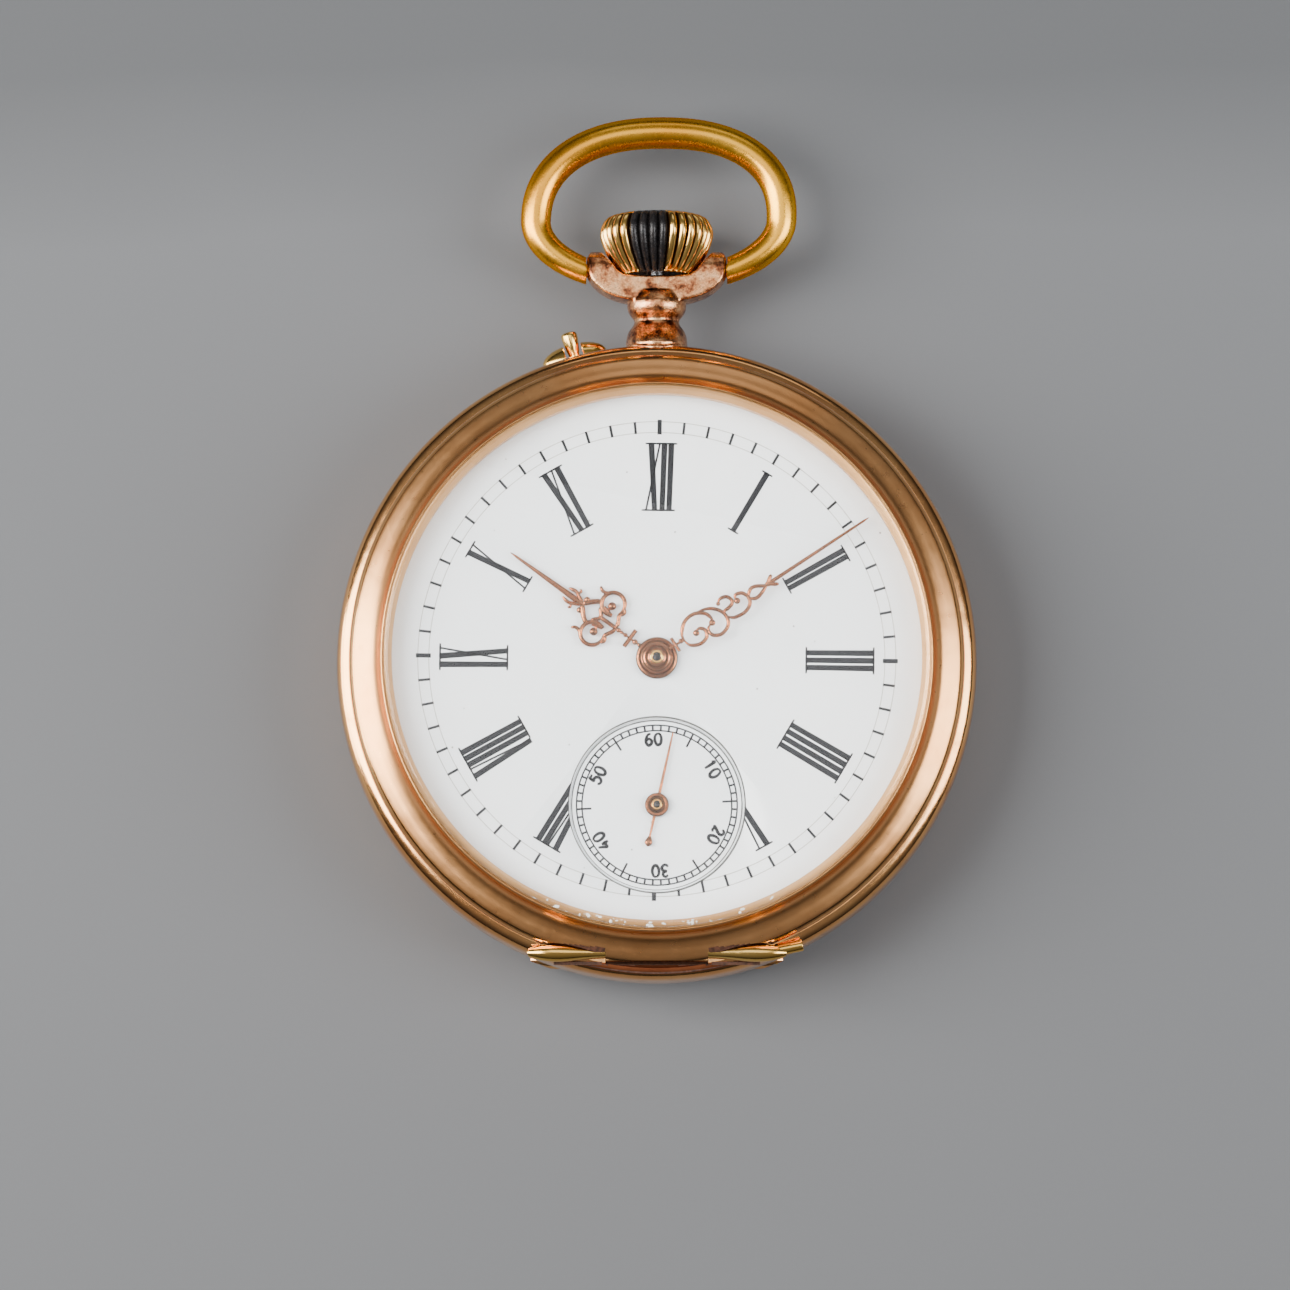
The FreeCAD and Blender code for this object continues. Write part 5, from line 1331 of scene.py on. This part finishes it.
def make_minute_hand():
    parts = [wire([(1.0, 0), (1.7, 0), (2.5, -0.1)], 0.2, 6, 0.8, (0.24, 0.18)), cross_bar(1.73, 1.24, 0.19),
             bead((2.24, 0, 0), 0.2)]
    curls = [
        [(2.5, -0.24), (2.52, 0.25), (2.86, 0.75), (3.3, 1.1), (3.84, 1.24), (4.3, 1.2), (4.67, 1.02),
         (5.0, 0.75), (5.13, 0.47), (5.18, 0.15), (5.05, -0.13)],
        [(2.5, -0.24), (2.62, -0.6), (2.94, -0.85), (3.35, -1.0), (3.75, -0.98), (4.05, -0.85), (4.22, -0.64),
         (4.28, -0.35), (4.17, -0.11), (3.9, 0.06), (3.58, -0.1)],
        [(4.1, 1.2), (4.8, 1.14), (5.43, 0.93), (5.85, 0.6), (6.11, 0.23), (6.24, -0.2), (6.19, -0.64),
         (5.95, -1.0), (5.57, -1.2), (5.2, -1.27), (4.85, -1.18), (4.55, -0.95), (4.47, -0.64), (4.6, -0.3),
         (5.05, -0.13)],
        [(6.2, -0.3), (6.34, 0.08), (6.7, 0.12), (7.09, 0.23), (7.28, 0.45), (7.24, 0.71), (7.08, 0.95),
         (6.82, 1.06), (6.5, 1.05), (6.22, 0.86)],
        [(6.2, -0.3), (6.34, -0.45), (6.66, -0.72), (7.06, -0.82), (7.5, -0.86), (7.89, -0.78), (8.22, -0.6),
         (8.43, -0.33), (8.5, 0.0), (8.41, 0.26), (8.28, 0.5), (8.01, 0.64), (7.75, 0.68), (7.6, 0.5),
         (7.6, 0.24)],
        [(8.48, -0.1), (8.72, 0.24), (9.01, 0.43), (9.3, 0.42), (9.58, 0.3), (9.9, 0.1), (10.25, -0.02)],
        [(8.48, -0.1), (8.79, -0.36), (9.05, -0.42), (9.28, -0.4), (9.7, -0.25), (10.25, 0.0)],
        [(10.1, 0), (10.4, 0.1), (10.7, 0.32), (10.95, 0.47)],
        [(10.1, 0), (10.45, -0.1), (10.75, -0.3), (11.04, -0.46)],
    ]
    for points in curls:
        parts.append(wire(points, 0.155, 5))
    for place, radius in (((5.05, -0.13, 0), 0.26), ((3.58, -0.12, 0), 0.26), ((6.25, 0.84, 0), 0.17),
                          ((7.6, 0.22, 0), 0.25), ((6.24, -0.3, 0), 0.16), ((8.48, -0.08, 0), 0.16),
                          ((4.12, 1.2, 0), 0.15)):
        parts.append(bead(place, radius, 0.7))
    blade = [(9.9, 0.13), (10.4, 0.17), (12.0, 0.15), (16.0, 0.13), (19.3, 0.09), (19.7, 0.03)]
    parts.append(tube("blade", [(x, 0, 0) for x, _ in blade], [radius for _, radius in blade], 10, 0.8))
    body = join("minute_hand_scrollwork", parts)
    body.data.transform(hand_matrix(MINUTE_ANGLE, (0, 0), MINUTE_Z))
    base, top = low("minute_hand")[2], high("minute_hand")[2]
    boss = lathe("hub", rounded([(0.5, base), (1.1, base), (1.12, top - 0.2), (1.04, top - 0.08),
                                 (0.92, top - 0.02), (0.86, top - 0.12), (0.76, top - 0.12), (0.7, top),
                                 (0.58, top + 0.05), (0.5, top + 0.05)], 0.02), 96)
    body = join("minute_hand_scrollwork", [body, boss])
    finish(body, "centre_body", "hand_copper", ["minute_hand"], crease=45)
    rings(body, (0, 0), ((0.74, 0.88), (1.06, 1.14)))
    arbor_tip("centre_arbor_tip", (0, 0), high("centre_pinion")[2], "centre_body")


def make_seconds_hand():
    needle = tube("needle", [(-2.6, 0, 0), (-0.9, 0, 0), (0.9, 0, 0), (3.5, 0, 0), (5.6, 0, 0), (5.8, 0, 0)],
                  [0.08, 0.12, 0.12, 0.1, 0.07, 0.03], 10, 0.7)
    swell = [(-2.5, 0.1), (-2.7, 0.2), (-2.9, 0.29), (-3.08, 0.29), (-3.22, 0.18), (-3.3, 0.04)]
    drop = tube("drop", [(x, 0, 0) for x, _ in swell], [radius for _, radius in swell], 16, 0.4)
    body = join("seconds_hand_needle", [needle, drop])
    body.data.transform(hand_matrix(SECONDS_ANGLE, (SUB_X, SUB_Y), SECONDS_Z - 0.02))
    base, top = low("seconds_hand")[2] + 0.02, high("seconds_hand")[2]
    boss = lathe("boss", rounded([(0.2, base), (0.92, base), (0.92, top - 0.16), (0.86, top - 0.05),
                                  (0.7, top - 0.05), (0.45, top - 0.14), (0.36, top), (0.2, top)], 0.025),
                 80, (SUB_X, SUB_Y))
    body = join("seconds_hand_needle", [body, boss])
    finish(body, "fourth_body", "hand_copper", ["seconds_hand"], crease=45)
    rings(body, (SUB_X, SUB_Y), ((0.46, 0.58), (0.86, 0.93)))
    arbor_tip("seconds_arbor_tip", (SUB_X, SUB_Y), high("fourth_pinion")[2], "fourth_body", 0.8)


CHIP_COUNT = 70


def make_glass_chips():
    """White chips and dried grime along the lower edge of the glass."""
    bits = []
    for _ in range(CHIP_COUNT):
        degrees = random.gauss(266, 15)
        if not 236 < degrees < 300:
            continue
        radius = 20.98 + random.uniform(-0.22, 0.14)
        turn = math.radians(degrees)
        rise = GLASS_LOW + 0.42 + (21.1 - radius) * 0.9
        chip = bead((0, 0, 0), random.uniform(0.03, 0.10), 0.35, 5, 7)
        stretch = Matrix.Diagonal((random.uniform(0.5, 1.0), random.uniform(1.0, 3.2), 1, 1))
        place = Matrix.Translation((radius * math.cos(turn), radius * math.sin(turn), rise))
        chip.data.transform(place @ Matrix.Rotation(turn + random.uniform(-0.3, 0.3), 4, "Z") @ stretch)
        bits.append(chip)
    finish(join("glass_edge_chips", bits), "bezel_body", "glass", (), GRIME, 60)


for make in (make_case_band, make_seam_dirt, make_bezel, make_crystal, make_back_cover, make_hinge_pins,
             make_pendant, make_solder, make_crown, make_bow, make_push_pin, make_dial, make_dial_printing,
             make_seconds_printing, make_hour_hand, make_minute_hand, make_seconds_hand, make_glass_chips):
    make()


# ------------------------------------------------------------------ floor, light and camera

FLOOR_HALF = 700.0


def make_floor():
    corners = [(x * FLOOR_HALF, y * FLOOR_HALF, 0) for x, y in ((-1, -1), (1, -1), (1, 1), (-1, 1))]
    floor = raw("floor", corners, [(0, 1, 2, 3)])
    floor.data.transform(Matrix.Scale(MM, 4))
    nodes = Nodes("grey_card_painted_falloff")
    parts = nodes.add("ShaderNodeSeparateXYZ")
    nodes.join(nodes.millimetres, parts.inputs["Vector"])
    # Painted shade: the floor colour darkens towards the far (+Y) edge and slightly towards the near edge,
    # standing in for the fall-off of the light; the noise varies it only a little.
    along = nodes.math("ADD", nodes.math("MULTIPLY", parts.outputs["Y"], 1 / 110), 0.5)
    drift = nodes.math("ADD", along, nodes.math("MULTIPLY", nodes.noise(0.012, 3.0), 0.12))
    colour = nodes.ramp(drift, (0.0, (0.132, 0.135, 0.141)), (0.5, (0.146, 0.150, 0.157)),
                        (0.88, (0.150, 0.155, 0.163)), (1.0, (0.100, 0.104, 0.110)))
    grain = nodes.noise(3.0, 4.0, 0.7)
    nodes.set(Base_Color=colour, Roughness=nodes.span(grain, 0.5, 0.7), Normal=nodes.bump(grain, 0.06, 0.05))
    floor.data.materials.append(nodes.material)


def area_light(name, place, size, radiance, colour=(1, 1, 1), target=(0, 0, 5)):
    data = bpy.data.lights.new(name, "AREA")
    data.shape = "RECTANGLE"
    data.size = size[0] * MM
    data.size_y = size[1] * MM
    data.energy = radiance * math.pi * data.size * data.size_y
    data.color = colour
    lamp = bpy.data.objects.new(name, data)
    lamp.location = Vector(place) * MM
    heading = Vector(target) - Vector(place)
    lamp.rotation_euler = heading.to_track_quat("-Z", "Y").to_euler()
    SCENE.collection.objects.link(lamp)


make_floor()
area_light("key_left", (-400, 20, 400), (300, 500), 12.5, (1.0, 0.985, 0.96))
area_light("low_left", (-560, 10, 110), (280, 150), 12.0, (1.0, 0.985, 0.96))
area_light("overhead_card", (40, 180, 900), (560, 420), 1.5, (0.98, 0.99, 1.0))
area_light("fill_right", (430, -30, 370), (260, 440), 8.0, (0.98, 0.99, 1.0))
area_light("back_strip", (60, 520, 300), (420, 150), 0.9, (1.0, 0.99, 0.97))

world = bpy.data.worlds.new("studio")
SCENE.world = world
world.use_nodes = True
sky = world.node_tree.nodes
heading = sky.new("ShaderNodeTexCoord")
parts = sky.new("ShaderNodeSeparateXYZ")
shade = sky.new("ShaderNodeValToRGB")
shade.color_ramp.elements[0].position = 0.05
shade.color_ramp.elements[0].color = (0.012, 0.012, 0.013, 1)
shade.color_ramp.elements[1].position = 0.95
shade.color_ramp.elements[1].color = (0.22, 0.225, 0.235, 1)
world.node_tree.links.new(heading.outputs["Generated"], parts.inputs["Vector"])
world.node_tree.links.new(parts.outputs["Z"], shade.inputs["Fac"])
world.node_tree.links.new(shade.outputs["Color"], sky["Background"].inputs["Color"])
sky["Background"].inputs["Strength"].default_value = 1.0

VIEW_WIDTH = 100.7
CAMERA_DISTANCE = 620.0
CAMERA_ELEVATION = 83.3
LOOK_AT = Vector((-0.92, 1.30, 8.5))
SENSOR = 36.0
lens = bpy.data.cameras.new("camera")
lens.sensor_width = SENSOR
lens.lens = SENSOR * CAMERA_DISTANCE / VIEW_WIDTH
lens.clip_start = 0.01
camera = bpy.data.objects.new("camera", lens)
tilt = math.radians(CAMERA_ELEVATION)
camera.location = (LOOK_AT + Vector((0, -math.cos(tilt), math.sin(tilt))) * CAMERA_DISTANCE) * MM
camera.rotation_euler = (math.radians(90 - CAMERA_ELEVATION), 0, 0)
SCENE.collection.objects.link(camera)
SCENE.camera = camera
